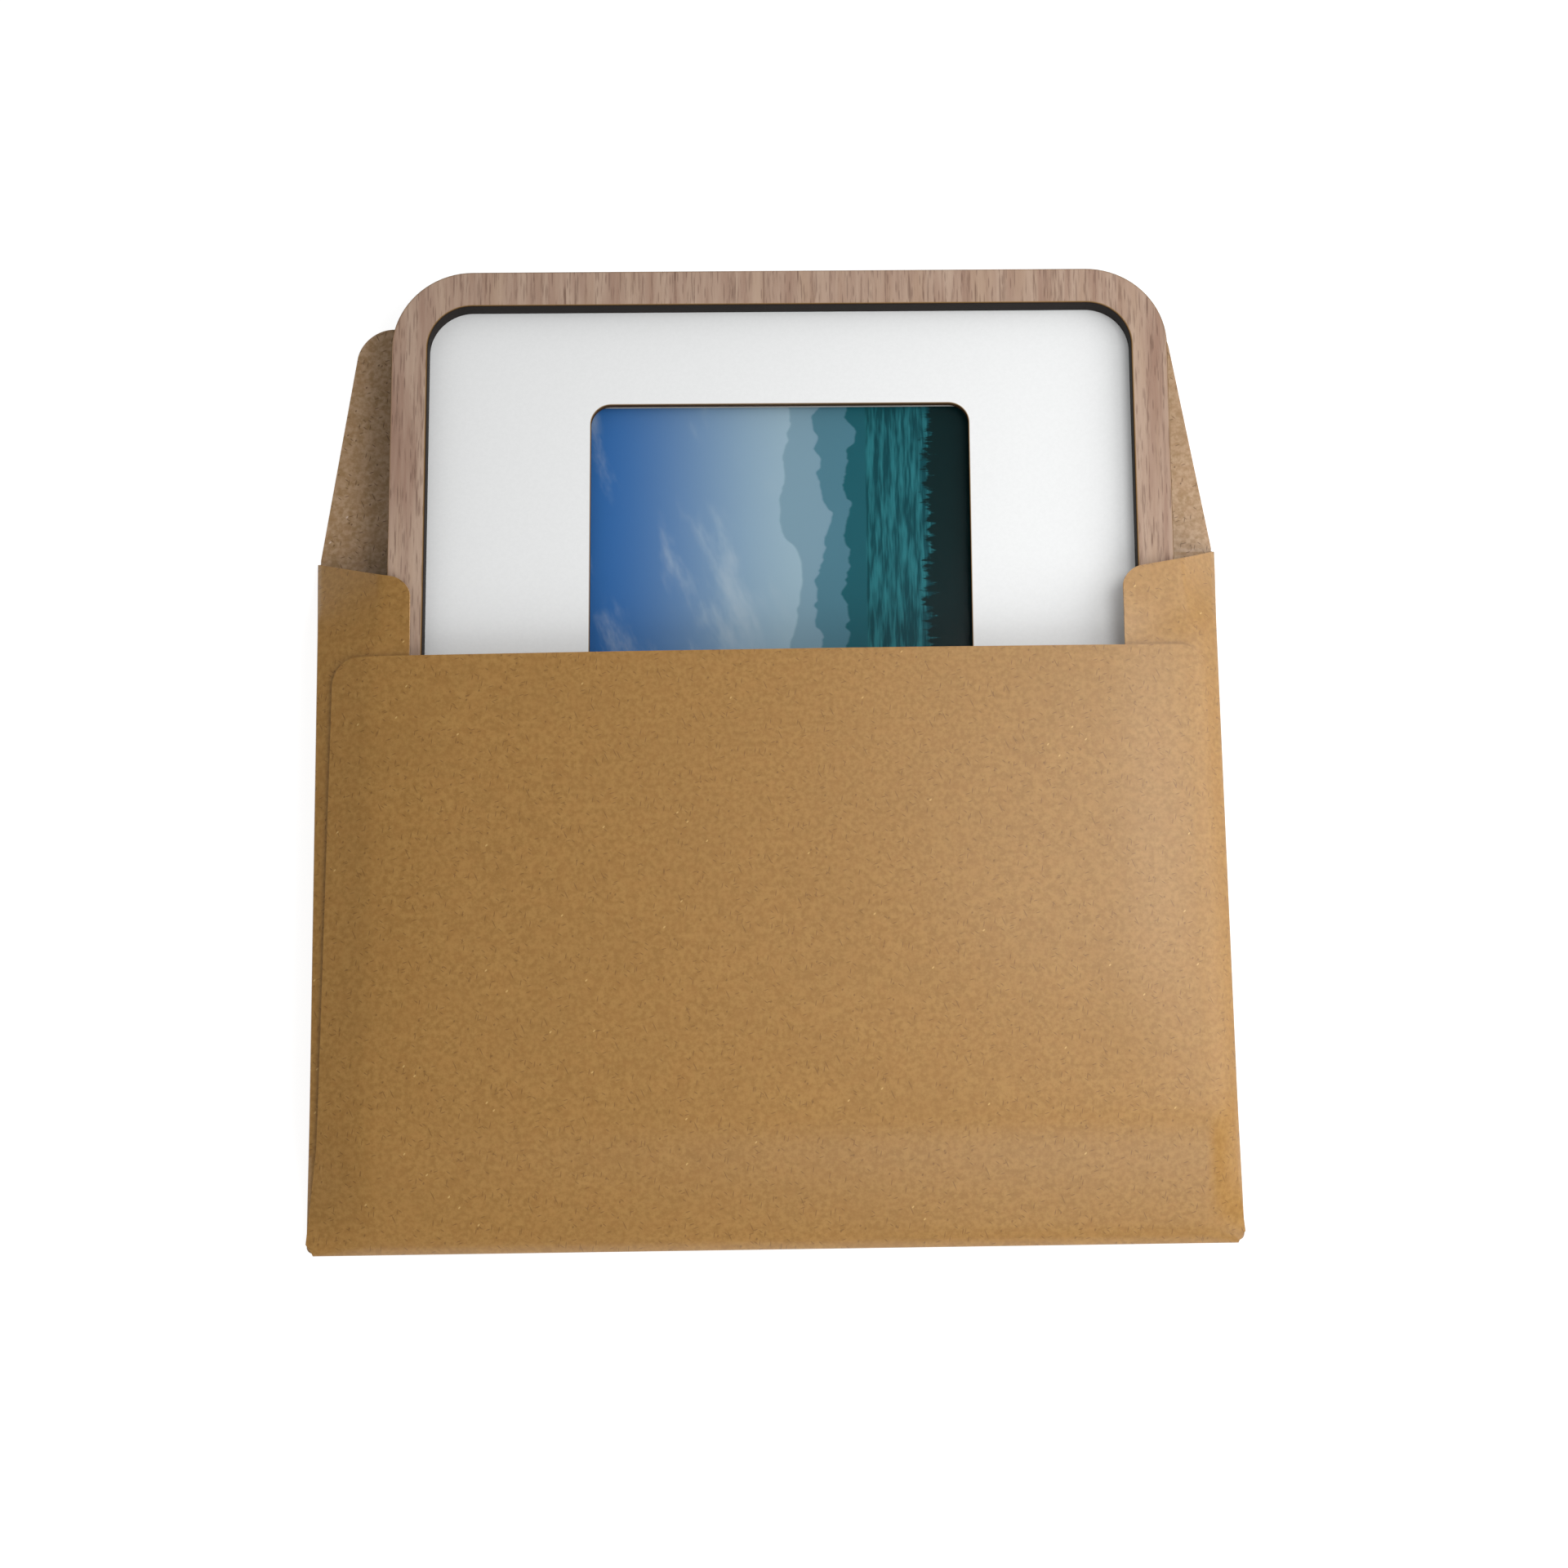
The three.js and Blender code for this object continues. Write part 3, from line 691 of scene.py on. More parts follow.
# How far apart the sheets are cut, so that they can bend there
PANEL_PITCH = 1 * MM
POCKET_PITCH = 0.9 * MM
FLAP_PITCH = 0.8 * MM
LEVEL_PITCH = 2.5 * MM
FOOT_PITCH = 1.2 * MM
LENGTH_PITCH = 3 * MM
OPEN_PITCH = 4 * MM
CREASE_PITCH = 0.1 * MM
FOLD_STEPS = 8

# The closure flap's piece takes in this much of the back panel, so that the crease bends inside one sheet
CREASE_STRIP = 1.5 * MM
CREASE_BEND = 0.7 * MM
SCORE_DEPTH = 0.05 * MM
SCORE_WIDTH = 0.35 * MM

# Length in X and in Y of the slow waves in the paper, and which of them it has
WAVE_LENGTHS = (23 * MM, 17 * MM)
WAVE_SEED = 0.3


def fall(distance, span, bend):
    """Height share of paper that is level up to an edge, bends over it and falls straight to its fold."""
    drop = math.hypot(max(distance, 0), bend) - bend
    return 1 - min(drop / (math.hypot(span, bend) - bend), 1)


def ease(share):
    """Share from 0 to 1 with soft ends."""
    share = min(max(share, 0), 1)
    return share * share * (3 - 2 * share)


# The side folds come down to the table over this much of their foot and of their head. The lift loses
# this share from foot to head
LIFT_FOOT = 22 * MM
LIFT_HEAD = 15 * MM
LIFT_FADE = 0.14

# How far they come in for each length that they rise
DRAW_IN = 0.17


def level_span(kraft):
    """Where the paper that is level over the frame ends, on the left and on the right."""
    return BEZEL_LOW.x - kraft.drape_margin, BEZEL_HIGH.x + kraft.drape_margin


def level_foot(kraft):
    """Where that paper ends below, with room for the frame to slide all the way down."""
    return LOWEST_FRAME - kraft.drape_margin


def beside_frame(kraft, x, y):
    """Share of the frame's height that paper keeps beside it, and how far the side folds lift it there."""
    left, right = level_span(kraft)
    if x < left:
        share = fall(left - x, left + HALF_WIDTH, kraft.drape_bend)
    else:
        share = fall(x - right, HALF_WIDTH - right, kraft.drape_bend)
    fade = 1 - LIFT_FADE * (y - SIDE_FOOT) / (CREASE - SIDE_FOOT)
    lift = kraft.fold_lift * fade * ease((y - SIDE_FOOT) / LIFT_FOOT) * ease((CREASE - y) / LIFT_HEAD)
    return share, lift * (1 - share)


def drawn_in(kraft, x, y):
    """Where a place on the paper comes to in X: the side folds come in as they rise."""
    return x - math.copysign(DRAW_IN * beside_frame(kraft, x, y)[1], x)


def panel_height(kraft, x, y):
    """Middle of the back panel: flat under the frame, with its sides drawn up to the folds."""
    return PAPER / 2 + beside_frame(kraft, x, y)[1]


# The paper starts to puff up this far outside the frame's sides, and is fully up after this width and
# this length from its foot
PUFF_OUTSIDE = 7 * MM
PUFF_WIDTH = 20 * MM
PUFF_LENGTH = 47 * MM

# How far the pocket draws back towards its foot for each length that it puffs up
PUFF_DRAW = 0.24

# The side flaps come free over this much of their length past the mouth, and their ends draw back by
# this share of their rise
SPRING_LENGTH = 8 * MM
END_DRAW = 0.29


def past_mouth(y):
    """Share to which the side flaps are free of the pocket."""
    return ease((y - MOUTH) / SPRING_LENGTH)


def puffed(kraft, x, y):
    """How far the springy side flaps push the paper up, off the frame."""
    inside = min(x - BEZEL_LOW.x, BEZEL_HIGH.x - x) + PUFF_OUTSIDE
    share = min(max(inside / PUFF_WIDTH, 0), 1)
    rounded = share ** 2 * (6 - 8 * share + 3 * share ** 2)
    return kraft.puff * rounded * ease((y - BOTTOM) / PUFF_LENGTH) * (1 - past_mouth(y))


def side_flap_height(kraft, x, y):
    """Middle of the side flaps: over the frame wherever it can slide, and down to the folds round it."""
    foot = level_foot(kraft)
    share, lift = beside_frame(kraft, x, y)
    share *= fall(foot - y, foot - BOTTOM, kraft.foot_bend)
    place = Vector((x / WAVE_LENGTHS[0], y / WAVE_LENGTHS[1], WAVE_SEED))
    wave = noise.noise(place) * kraft.waviness
    return FLOOR_TOP + PAPER / 2 + (DRAPE_RISE + wave) * share + lift + puffed(kraft, x, y)


def pocket_height(kraft, x, y):
    """Middle of the pocket panel: over the side flaps, with an arch that fades to the bottom fold."""
    over_flaps = PAPER_STEP * min(max((y - BOTTOM) / (SIDE_FOOT - BOTTOM), 0), 1)
    aside = abs(x - FRAME_MIDDLE.x) / (BEZEL_HIGH.x - FRAME_MIDDLE.x)
    arch = POCKET_ARCH * max(1 - aside ** 2, 0) * max(y - BOTTOM, 0) / (MOUTH - BOTTOM)
    return side_flap_height(kraft, x, y) + over_flaps + arch


# A fold turns from the back panel up and over, until it leans this far short of lying flat
FOLD_LEAN = math.radians(35)


def fold_length(kraft):
    """Length of paper in a fold."""
    return kraft.fold_radius * (math.pi - FOLD_LEAN)


def fold_start(kraft):
    """How far inside the envelope's edge the back panel ends and its folds begin."""
    return PAPER / 2 + kraft.fold_radius


def from_edge(kraft, run, reach):
    """Distance inside the envelope's edge of a point on a folded panel; a run below 0 is in the fold."""
    if run < 0:
        turn = (1 + run / fold_length(kraft)) * (math.pi - FOLD_LEAN)
        return PAPER / 2 + kraft.fold_radius * (1 - math.sin(turn))
    start = PAPER / 2 + kraft.fold_radius * (1 - math.sin(FOLD_LEAN))
    return start + run * (1 - start / reach)


def fold_rise(kraft, run, base, level):
    """Height in a fold, from the back panel's edge to the level of the panel that it carries."""
    turn = (1 + run / fold_length(kraft)) * (math.pi - FOLD_LEAN)
    share = (1 - math.cos(turn)) / (1 + math.cos(FOLD_LEAN))
    return base + (level - base) * share


def mirrored(corners):
    """Outline whose right half is given from its foot up, with its left half added."""
    return corners + [(-x, y, radius) for x, y, radius in reversed(corners)]


def back_panel_sheet(kraft):
    """Panel on the table, up to where its folds and the crease begin."""
    bm = bmesh.new()
    edge = HALF_WIDTH - fold_start(kraft)
    outline_face(bm, mirrored([
        (HALF_WIDTH, BOTTOM + fold_start(kraft), kraft.panel_corner), (HALF_WIDTH, SIDE_FOOT, 0),
        (edge, SIDE_FOOT, 0), (edge, CREASE - CREASE_STRIP, 0),
    ]))
    left, right = level_span(kraft)
    slice_sheet(bm, ACROSS, lines(-HALF_WIDTH, left, PANEL_PITCH)[1:])
    slice_sheet(bm, ACROSS, lines(right, HALF_WIDTH, PANEL_PITCH)[:-1])
    slice_sheet(bm, ALONG, lines(SIDE_FOOT, CREASE - CREASE_STRIP, LENGTH_PITCH)[:-1])
    for vert in bm.verts:
        x, y = vert.co.x, vert.co.y
        vert.co = (drawn_in(kraft, x, y), y, panel_height(kraft, x, y))
    bmesh.ops.reverse_faces(bm, faces=bm.faces[:])
    thicken(bm, PAPER)
    return bm


# The pocket is as wide as the envelope up to here, and has drawn in half of its taper by there
POCKET_FULL = 1.5 * MM
POCKET_HALF_TAPER = 16 * MM


def pocket_sheet(kraft):
    """Panel that folds up from the bottom and lies over the side flaps and the frame."""
    bm = bmesh.new()
    strip = fold_length(kraft)
    reach = MOUTH - BOTTOM
    fold_end = HALF_WIDTH - kraft.panel_corner
    outline_face(bm, mirrored([
        (fold_end, -strip, 0), (fold_end, 0, kraft.panel_corner / 2), (HALF_WIDTH, POCKET_FULL, 0),
        (HALF_WIDTH - kraft.pocket_taper / 2, POCKET_HALF_TAPER, 0),
        (HALF_WIDTH - kraft.pocket_taper, reach, kraft.pocket_corner),
    ]))
    left, right = level_span(kraft)
    foot = level_foot(kraft) - BOTTOM
    slice_sheet(bm, ACROSS, lines(-HALF_WIDTH, left, POCKET_PITCH) + lines(left, right, LEVEL_PITCH)[1:])
    slice_sheet(bm, ACROSS, lines(right, HALF_WIDTH, POCKET_PITCH)[1:])
    slice_sheet(bm, ALONG, lines(-strip, 0, strip / FOLD_STEPS) + lines(0, foot, FOOT_PITCH)[1:])
    slice_sheet(bm, ALONG, lines(foot, reach, LENGTH_PITCH)[1:])
    for vert in bm.verts:
        x, run = vert.co.x, vert.co.y
        y = BOTTOM + from_edge(kraft, run, reach)
        level = pocket_height(kraft, x, max(y, BOTTOM))
        height = fold_rise(kraft, run, PAPER / 2, level) if run < 0 else level
        vert.co = (drawn_in(kraft, x, y), y - PUFF_DRAW * puffed(kraft, x, y), height)
    thicken(bm, PAPER)
    return bm


def side_flap_sheet(kraft, side):
    """Flap folded in from one side, with slanted ends and round corners; side is -1 or 1."""
    bm = bmesh.new()
    strip = fold_length(kraft)
    left, right = level_span(kraft)
    edge = right if side > 0 else -left
    drop = SIDE_WIDTH * math.tan(kraft.side_slant)
    outline_face(bm, [
        (-strip, SIDE_FOOT, 0), (0, SIDE_FOOT, 0), (SIDE_WIDTH, SIDE_FOOT + drop, kraft.side_corner),
        (SIDE_WIDTH, CREASE - drop, kraft.side_corner), (0, CREASE, 0), (-strip, CREASE, 0),
    ])
    foot = level_foot(kraft)
    slope = math.tan(kraft.flap_spring)
    slice_sheet(bm, ACROSS, lines(-strip, 0, strip / FOLD_STEPS) + lines(0, SIDE_WIDTH, FLAP_PITCH)[1:])
    slice_sheet(bm, ALONG, lines(SIDE_FOOT, foot, FOOT_PITCH) + lines(foot, CREASE, LENGTH_PITCH)[1:])
    for vert in bm.verts:
        run, y = vert.co.x, vert.co.y
        x = side * (HALF_WIDTH - from_edge(kraft, run, SIDE_WIDTH))
        base = panel_height(kraft, side * (HALF_WIDTH - fold_start(kraft)), y)
        free = past_mouth(y)
        level = side_flap_height(kraft, x, y)
        fold = side_flap_height(kraft, side * HALF_WIDTH, y)
        rise = side_flap_height(kraft, side * edge, y) - fold
        climb = min((HALF_WIDTH - abs(x)) / (HALF_WIDTH - edge), 1)
        straight = fold + rise * climb + max(edge - abs(x), 0) * slope
        level += (straight - level) * free
        height = fold_rise(kraft, run, base, level) if run < 0 else level
        vert.co = (drawn_in(kraft, x, y), y - END_DRAW * (height - base) * free, height)
    if side > 0:
        bmesh.ops.reverse_faces(bm, faces=bm.faces[:])
    thicken(bm, PAPER)
    return bm


def seam_glue_sheet(kraft, node):
    """Line of glue between a side flap and the pocket panel, halfway between them."""
    bm = bmesh.new()
    low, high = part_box(node)
    end = (high.x - low.x) / 3
    outline_face(bm, [
        (low.x, low.y, end), (high.x, low.y, end), (high.x, high.y, end), (low.x, high.y, end),
    ])
    slice_sheet(bm, ACROSS, lines(low.x, high.x, FLAP_PITCH)[1:-1])
    slice_sheet(bm, ALONG, lines(low.y, high.y, LENGTH_PITCH)[1:-1])
    for vert in bm.verts:
        x, y = vert.co.x, vert.co.y
        vert.co = (drawn_in(kraft, x, y), y, side_flap_height(kraft, x, y) + PAPER_STEP / 2)
    thicken(bm, (PAPER_STEP - PAPER) / 3)
    for face in bm.faces:
        face.material_index = 0
    return bm


def closure_flap_sheet(kraft):
    """Open flap beyond the crease, with a scored line where it bends."""
    bm = bmesh.new()
    edge = HALF_WIDTH - fold_start(kraft)
    top_edge = edge - (FLAP_HIGH.y - CREASE) * math.tan(kraft.flap_taper)
    outline_face(bm, mirrored([
        (edge, CREASE - CREASE_STRIP, 0), (edge, CREASE + CREASE_BEND, 0),
        (top_edge, FLAP_HIGH.y, kraft.flap_corner),
    ]))
    slice_sheet(bm, ALONG, lines(CREASE - CREASE_BEND, CREASE + CREASE_BEND, CREASE_PITCH))
    slice_sheet(bm, ALONG, lines(CREASE + CREASE_BEND, FLAP_HIGH.y, OPEN_PITCH)[1:])
    for vert in bm.verts:
        score = math.exp(-((vert.co.y - CREASE) / SCORE_WIDTH) ** 2)
        vert.co.z = PAPER / 2 - SCORE_DEPTH * score
    bmesh.ops.reverse_faces(bm, faces=bm.faces[:])
    thicken(bm, PAPER)
    return bm


def gum_sheet():
    """Gum along the closure flap's free edge, with round ends."""
    bm = bmesh.new()
    length, depth = GUM_HIGH.x - GUM_LOW.x, GUM_HIGH.y - GUM_LOW.y
    middle = ((GUM_LOW.x + GUM_HIGH.x) / 2, (GUM_LOW.y + GUM_HIGH.y) / 2)
    thickness = GUM_HIGH.z - GUM_LOW.z
    edge = rounded_loop(bm, length, depth, depth / 3, GUM_LOW.z, middle)
    raise_plate(bm, fill_between(bm, edge), thickness)
    ease_rim(bm, GUM_HIGH.z, thickness / 2)
    return bm


# Flat sheets behind the bezel

# Width of the browned line round the mat's window, and the heat on its face and on its wall
MAT_SCORCH = 0.25 * MM
MAT_FACE_HEAT = 0.6
MAT_WALL_HEAT = 0.84

# Heat on the bezel's outer edge
RIM_HEAT = 0.5


def sheet_corner(sizes, node):
    """Corner radius of a sheet that runs under the bezel, concentric with the bezel's corners."""
    length = flat_size(node, 0)[0]
    return sizes.corner - (flat_size("front_bezel", 0)[0] - length) / 2


# Operators

class FoldEnvelope(bpy.types.Operator):
    """Fold the back panel, the side flaps and the pocket panel of the envelope"""

    bl_idname = "photo_frame.fold_envelope"
    bl_label = "Fold envelope"

    def execute(self, context):
        kraft = context.scene.kraft_settings
        papers = (
            kraft_paper("kraft_paper_outside", kraft.outside, contrast=1.0),
            kraft_paper("kraft_paper_inside", kraft.inside, contrast=1.5),
            kraft_cut_edge(kraft.inside),
        )
        sheets = {
            "back_panel": back_panel_sheet(kraft),
            "pocket_panel": pocket_sheet(kraft),
            "left_side_flap": side_flap_sheet(kraft, -1),
            "right_side_flap": side_flap_sheet(kraft, 1),
        }
        for name, sheet in sheets.items():
            piece = finish_piece(f"kraft_{name}", sheet, papers, "kraft_paper", f"envelope_{name}")
            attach(piece, "envelope")
        return {"FINISHED"}


class GlueSeams(bpy.types.Operator):
    """Lay the lines of glue between the side flaps and the pocket panel"""

    bl_idname = "photo_frame.glue_seams"
    bl_label = "Glue seams"

    def execute(self, context):
        kraft = context.scene.kraft_settings
        glue = dried_gum("seam_glue", linear("#d9c79f"))
        for name in ("left_seam_glue", "right_seam_glue"):
            sheet = seam_glue_sheet(kraft, name)
            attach(finish_piece(f"dried_{name}", sheet, [glue], "paper_glue", name), "envelope")
        return {"FINISHED"}


class OpenFlap(bpy.types.Operator):
    """Lay the closure flap open behind the frame, with its strip of gum"""

    bl_idname = "photo_frame.open_flap"
    bl_label = "Open closure flap"

    def execute(self, context):
        kraft = context.scene.kraft_settings
        names = ("kraft_paper_outside", "kraft_paper_inside", "kraft_cut_edge")
        papers = [bpy.data.materials[name] for name in names]
        flap = finish_piece(
            "kraft_closure_flap", closure_flap_sheet(kraft), papers, "kraft_paper", "envelope_closure_flap",
        )
        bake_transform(flap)
        gum = dried_gum("envelope_gum", [channel * 0.92 for channel in kraft.inside])
        strip = finish_piece("gum_strip", gum_sheet(), [gum], "paper_glue", "closure_gum_strip")
        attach(strip, "closure_flap")
        return {"FINISHED"}


class CutBezel(bpy.types.Operator):
    """Cut the walnut ring that is the frame's face"""

    bl_idname = "photo_frame.cut_bezel"
    bl_label = "Cut bezel"

    def execute(self, context):
        sizes = context.scene.frame_settings
        length, depth = flat_size("front_bezel", sizes.corner)
        low, high = BEZEL_LOW.z, BEZEL_HIGH.z
        inset = 2 * sizes.bezel_width
        sight = (length - inset, depth - inset, sizes.corner - sizes.bezel_width)
        bm = bmesh.new()
        loops = rounded_loop(bm, length, depth, sizes.corner, low), rounded_loop(bm, *sight, low)
        face = raise_plate(bm, fill_between(bm, *loops), high - low)
        bmesh.ops.inset_region(
            bm, faces=face, thickness=sizes.scorch_width, use_boundary=True, use_even_offset=True,
        )
        ease_rim(bm, high, sizes.edge_ease)

        def heat(point):
            if point.z < high - sizes.edge_ease / 2:
                return 1.0
            inner = 1 - outside_by(point, *sight) / sizes.scorch_width
            outer = RIM_HEAT + outside_by(point, length, depth, sizes.corner) / sizes.scorch_width
            return max(inner, outer)

        mark_scorch(bm, heat)
        bmesh.ops.transform(bm, matrix=FRAME_PLACE, verts=bm.verts[:])
        walnut = sanded_walnut(sizes.walnut_light, sizes.walnut_dark)
        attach(finish_piece("walnut_bezel", bm, [walnut], "walnut", "front_bezel"), "frame")
        return {"FINISHED"}


class CutMat(bpy.types.Operator):
    """Cut the white mat board and its window, whose wall is browned"""

    bl_idname = "photo_frame.cut_mat"
    bl_label = "Cut mat"

    def execute(self, context):
        sizes = context.scene.frame_settings
        low, high = (corner.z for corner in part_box("window_mat"))
        corner = sheet_corner(sizes, "window_mat")
        length, depth = flat_size("window_mat", corner)
        window = (sizes.window_length, sizes.window_depth, sizes.window_corner)
        bm = bmesh.new()
        loops = rounded_loop(bm, length, depth, corner, low), rounded_loop(bm, *window, low)
        face = raise_plate(bm, fill_between(bm, *loops), high - low)
        bmesh.ops.inset_region(
            bm, faces=face, thickness=MAT_SCORCH, use_boundary=True, use_even_offset=True,
        )

        def heat(point):
            top = MAT_FACE_HEAT if point.z > (low + high) / 2 else MAT_WALL_HEAT
            return top * (1 - outside_by(point, *window) / MAT_SCORCH)

        mark_scorch(bm, heat)
        bmesh.ops.transform(bm, matrix=FRAME_PLACE, verts=bm.verts[:])
        board = white_mat_board(sizes.mat)
        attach(finish_piece("mat_board", bm, [board], "mat_board", "window_mat"), "frame")
        return {"FINISHED"}


class CutClearSheet(bpy.types.Operator):
    """Cut the clear sheet behind the mat"""

    bl_idname = "photo_frame.cut_clear_sheet"
    bl_label = "Cut clear sheet"

    def execute(self, context):
        low, high = (corner.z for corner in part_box("glazing_sheet"))
        corner = sheet_corner(context.scene.frame_settings, "glazing_sheet")
        length, depth = flat_size("glazing_sheet", corner)
        bm = bmesh.new()
        raise_plate(bm, fill_between(bm, rounded_loop(bm, length, depth, corner, low)), high - low)
        bmesh.ops.transform(bm, matrix=FRAME_PLACE, verts=bm.verts[:])
        piece = finish_piece("clear_sheet", bm, [clear_acrylic()], "clear_acrylic", "glazing_sheet")
        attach(piece, "frame")
        return {"FINISHED"}


class LayPrint(bpy.types.Operator):
    """Lay the instant print on the tray, with its picture behind the window"""

    bl_idname = "photo_frame.lay_print"
    bl_label = "Lay print"

    def execute(self, context):
        sizes = context.scene.frame_settings
        print_low, print_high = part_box("photo_print")
        length, depth = flat_size("photo_print", 0)
        middle = FRAME_PLACE.inverted() @ ((print_low + print_high) / 2)
        bm = bmesh.new()
        edge = rounded_loop(bm, length, depth, sizes.print_corner, print_low.z, (middle.x, middle.y))
        image = rounded_loop(
            bm, sizes.image_length, sizes.image_width, sizes.print_corner / 4, print_low.z,
        )
        faces = fill_between(bm, edge, image) + fill_between(bm, image)
        for face in raise_plate(bm, faces, print_high.z - print_low.z):
            spot = face.calc_center_median()
            if outside_by(spot, sizes.image_length, sizes.image_width, 0) < 0:
                face.material_index = 1
        bmesh.ops.transform(bm, matrix=FRAME_PLACE, verts=bm.verts[:])
        picture = print_picture(FRAME_MIDDLE, sizes.image_length, sizes.image_width)
        piece = finish_piece("instant_print", bm, [print_border(), picture], "print", "photo_print")
        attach(piece, "tray")
        return {"FINISHED"}


class FinishLayers(bpy.types.Operator):
    """Give the plywood layers, the tray, the strut and the adhesive films their finish"""

    bl_idname = "photo_frame.finish_layers"
    bl_label = "Finish hidden layers"

    def execute(self, context):
        plywood, film = cut_plywood(), adhesive_film()
        for name in ("sight_ring", "channel_spacer", "back_cover", "photo_tray", "stand_strut"):
            frame["nodes"][name].data.materials[0] = plywood
        for name in ("bezel_adhesive", "spacer_adhesive", "cover_adhesive"):
            frame["nodes"][name].data.materials[0] = film
        return {"FINISHED"}


# Place, size and power of each soft lamp, and whether the paper's sheen mirrors it
SOFT_LAMPS = {
    "key": ((130 * MM, 40 * MM, 280 * MM), 120 * MM, 0.23, True),
    "side": ((270 * MM, 40 * MM, 155 * MM), 220 * MM, 0.336, True),
    "front": ((115 * MM, -199 * MM, 193 * MM), 200 * MM, 0.18, True),
    "front_fill": ((100 * MM, -206 * MM, 200 * MM), 200 * MM, 0.13, False),
}

# The floor lies just under the object, and a share of what the camera sees of it is a plain white glow
FLOOR_SIZE = 4.0
FLOOR_DROP = 0.1 * MM
FLOOR_GLOW = 1.4
FLOOR_PLAIN = 0.6

# Mirrored rays see the white background below the lower height, and the dark above the higher one
HORIZON_LOW = 0.02
HORIZON_HIGH = 0.12


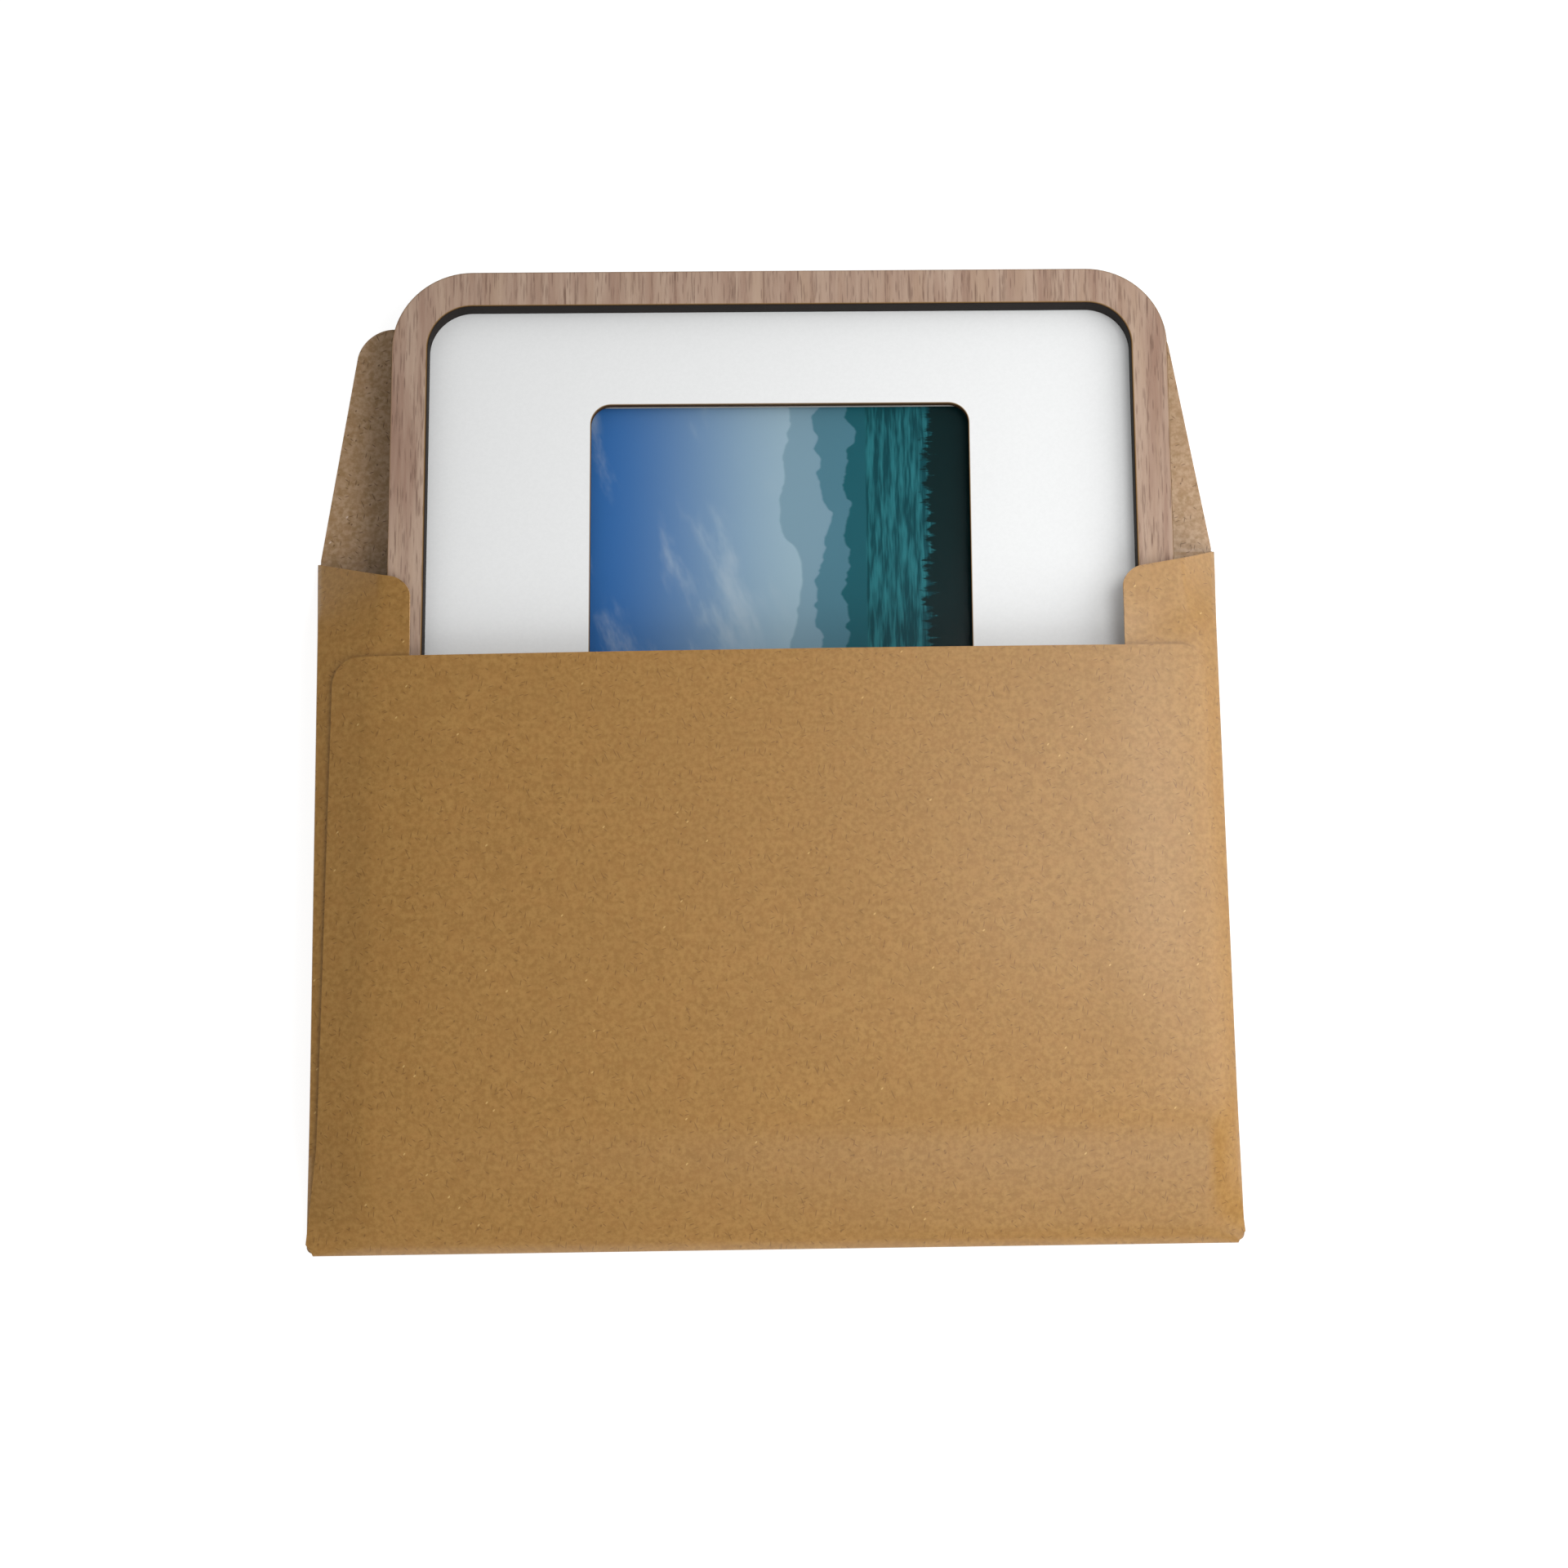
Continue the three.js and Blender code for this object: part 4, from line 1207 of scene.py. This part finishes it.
class SetStage(bpy.types.Operator):
    """Set the pale floor, the soft light and the camera"""

    bl_idname = "photo_frame.set_stage"
    bl_label = "Set stage"

    def execute(self, context):
        stage = context.scene.stage_settings
        context.scene.view_settings.view_transform = "Standard"
        self.lay_floor()
        self.light_world(context, stage)
        for name, lamp in SOFT_LAMPS.items():
            self.hang_lamp(context, name, *lamp, stage.lamp_power)
        self.place_camera(context, stage)
        return {"FINISHED"}

    def background_ray(self, tree, mirrored_share=1.0):
        """1 for rays that should see the plain white background, 0 for those that carry light."""
        rays = add_node(tree, "ShaderNodeLightPath").outputs
        parts = (rays["Is Glossy Ray"], mirrored_share)
        seen = add_node(tree, "ShaderNodeMath", parts, operation="MULTIPLY").outputs[0]
        for kind in ("Is Camera Ray", "Is Transmission Ray"):
            seen = add_node(tree, "ShaderNodeMath", (seen, rays[kind]), operation="MAXIMUM").outputs[0]
        return seen

    def lay_floor(self):
        """White floor that keeps a faint shadow."""
        material, tree = new_material("white_floor")
        paint = add_node(tree, "ShaderNodeBsdfDiffuse", {"Color": opaque(linear("#f0f0f0"))})
        white = add_node(tree, "ShaderNodeEmission", {"Color": (1, 1, 1, 1), "Strength": FLOOR_GLOW})
        parts = (self.background_ray(tree), FLOOR_PLAIN)
        amount = add_node(tree, "ShaderNodeMath", parts, operation="MULTIPLY").outputs[0]
        layers = (amount, paint.outputs["BSDF"], white.outputs["Emission"])
        mixed = add_node(tree, "ShaderNodeMixShader", layers)
        add_node(tree, "ShaderNodeOutputMaterial", {"Surface": mixed.outputs["Shader"]})
        bm = bmesh.new()
        bmesh.ops.create_grid(bm, x_segments=1, y_segments=1, size=FLOOR_SIZE)
        bmesh.ops.translate(bm, vec=(0, 0, -FLOOR_DROP), verts=bm.verts[:])
        mesh = bpy.data.meshes.new("floor")
        bm.to_mesh(mesh)
        bm.free()
        mesh.materials.append(material)
        floor = bpy.data.objects.new("floor", mesh)
        bpy.context.scene.collection.objects.link(floor)

    def light_world(self, context, stage):
        """Even fill, dark overhead for mirrored rays, round a background that looks white."""
        world = bpy.data.worlds.new("white_studio")
        world.use_nodes = True
        tree = world.node_tree
        tree.nodes.clear()
        way = add_node(tree, "ShaderNodeTexCoord").outputs["Generated"]
        height = add_node(tree, "ShaderNodeSeparateXYZ", {"Vector": way}).outputs["Z"]
        glossy = add_node(tree, "ShaderNodeLightPath").outputs["Is Glossy Ray"]
        parts = (glossy, -stage.fill, stage.fill)
        light = add_node(tree, "ShaderNodeMath", parts, operation="MULTIPLY_ADD").outputs[0]
        inputs = {"Value": height, "From Min": HORIZON_HIGH, "From Max": HORIZON_LOW}
        horizon = add_node(tree, "ShaderNodeMapRange", inputs, interpolation_type="SMOOTHSTEP")
        seen = self.background_ray(tree, horizon.outputs["Result"])
        strength = add_node(tree, "ShaderNodeMix", {0: seen, 2: light, 3: 1.0}).outputs[0]
        sky = add_node(tree, "ShaderNodeBackground", {"Color": (1, 1, 1, 1), "Strength": strength})
        add_node(tree, "ShaderNodeOutputWorld", {"Surface": sky.outputs["Background"]})
        context.scene.world = world

    def hang_lamp(self, context, name, place, size, power, mirrored_too, factor):
        """Soft lamp, near enough for its light to fade towards the left."""
        lamp = bpy.data.lights.new(name, "AREA")
        lamp.energy = power * factor
        lamp.shape = "SQUARE"
        lamp.size = size
        soft = bpy.data.objects.new(name, lamp)
        soft.location = place
        soft.rotation_euler = (-Vector(place)).to_track_quat("-Z", "Y").to_euler()
        soft.visible_glossy = mirrored_too
        context.scene.collection.objects.link(soft)

    def place_camera(self, context, stage):
        """Camera above the object, leaning back from the photograph's foot."""
        lens = bpy.data.cameras.new("camera")
        lens.lens = stage.focal_length
        camera = bpy.data.objects.new("camera", lens)
        lean = Matrix.Rotation(stage.tilt, 4, "X") @ Matrix.Rotation(stage.roll, 4, "Z")
        back = Matrix.Rotation(stage.tilt, 3, "X") @ Vector((0, 0, stage.distance))
        camera.matrix_world = Matrix.Translation(Vector(stage.aim) + back) @ lean
        context.scene.collection.objects.link(camera)
        context.scene.camera = camera


SETTINGS = {
    "kraft_settings": KraftSettings, "frame_settings": FrameSettings, "stage_settings": StageSettings,
}
OPERATORS = (
    FoldEnvelope, GlueSeams, OpenFlap, CutBezel, CutMat, CutClearSheet, LayPrint, FinishLayers, SetStage,
)


class PhotoFramePanel(bpy.types.Panel):
    """Sizes, colours and steps of the photo frame"""

    bl_idname = "VIEW3D_PT_photo_frame"
    bl_label = "Photo frame"
    bl_space_type = "VIEW_3D"
    bl_region_type = "UI"
    bl_category = "Photo frame"

    def draw(self, context):
        for name, settings in SETTINGS.items():
            box = self.layout.box()
            for size in settings.__annotations__:
                box.prop(getattr(context.scene, name), size)
        for operator in OPERATORS:
            self.layout.operator(operator.bl_idname)


CLASSES = (*SETTINGS.values(), *OPERATORS, PhotoFramePanel)


def register():
    for made in CLASSES:
        bpy.utils.register_class(made)
    for name, settings in SETTINGS.items():
        setattr(bpy.types.Scene, name, PointerProperty(type=settings))


def unregister():
    for name in SETTINGS:
        delattr(bpy.types.Scene, name)
    for made in reversed(CLASSES):
        bpy.utils.unregister_class(made)


def main():
    register()
    bpy.ops.photo_frame.fold_envelope()
    bpy.ops.photo_frame.glue_seams()
    bpy.ops.photo_frame.open_flap()
    bpy.ops.photo_frame.cut_bezel()
    bpy.ops.photo_frame.cut_mat()
    bpy.ops.photo_frame.cut_clear_sheet()
    bpy.ops.photo_frame.lay_print()
    bpy.ops.photo_frame.finish_layers()
    bpy.ops.photo_frame.set_stage()


if __name__ == "__main__":
    main()
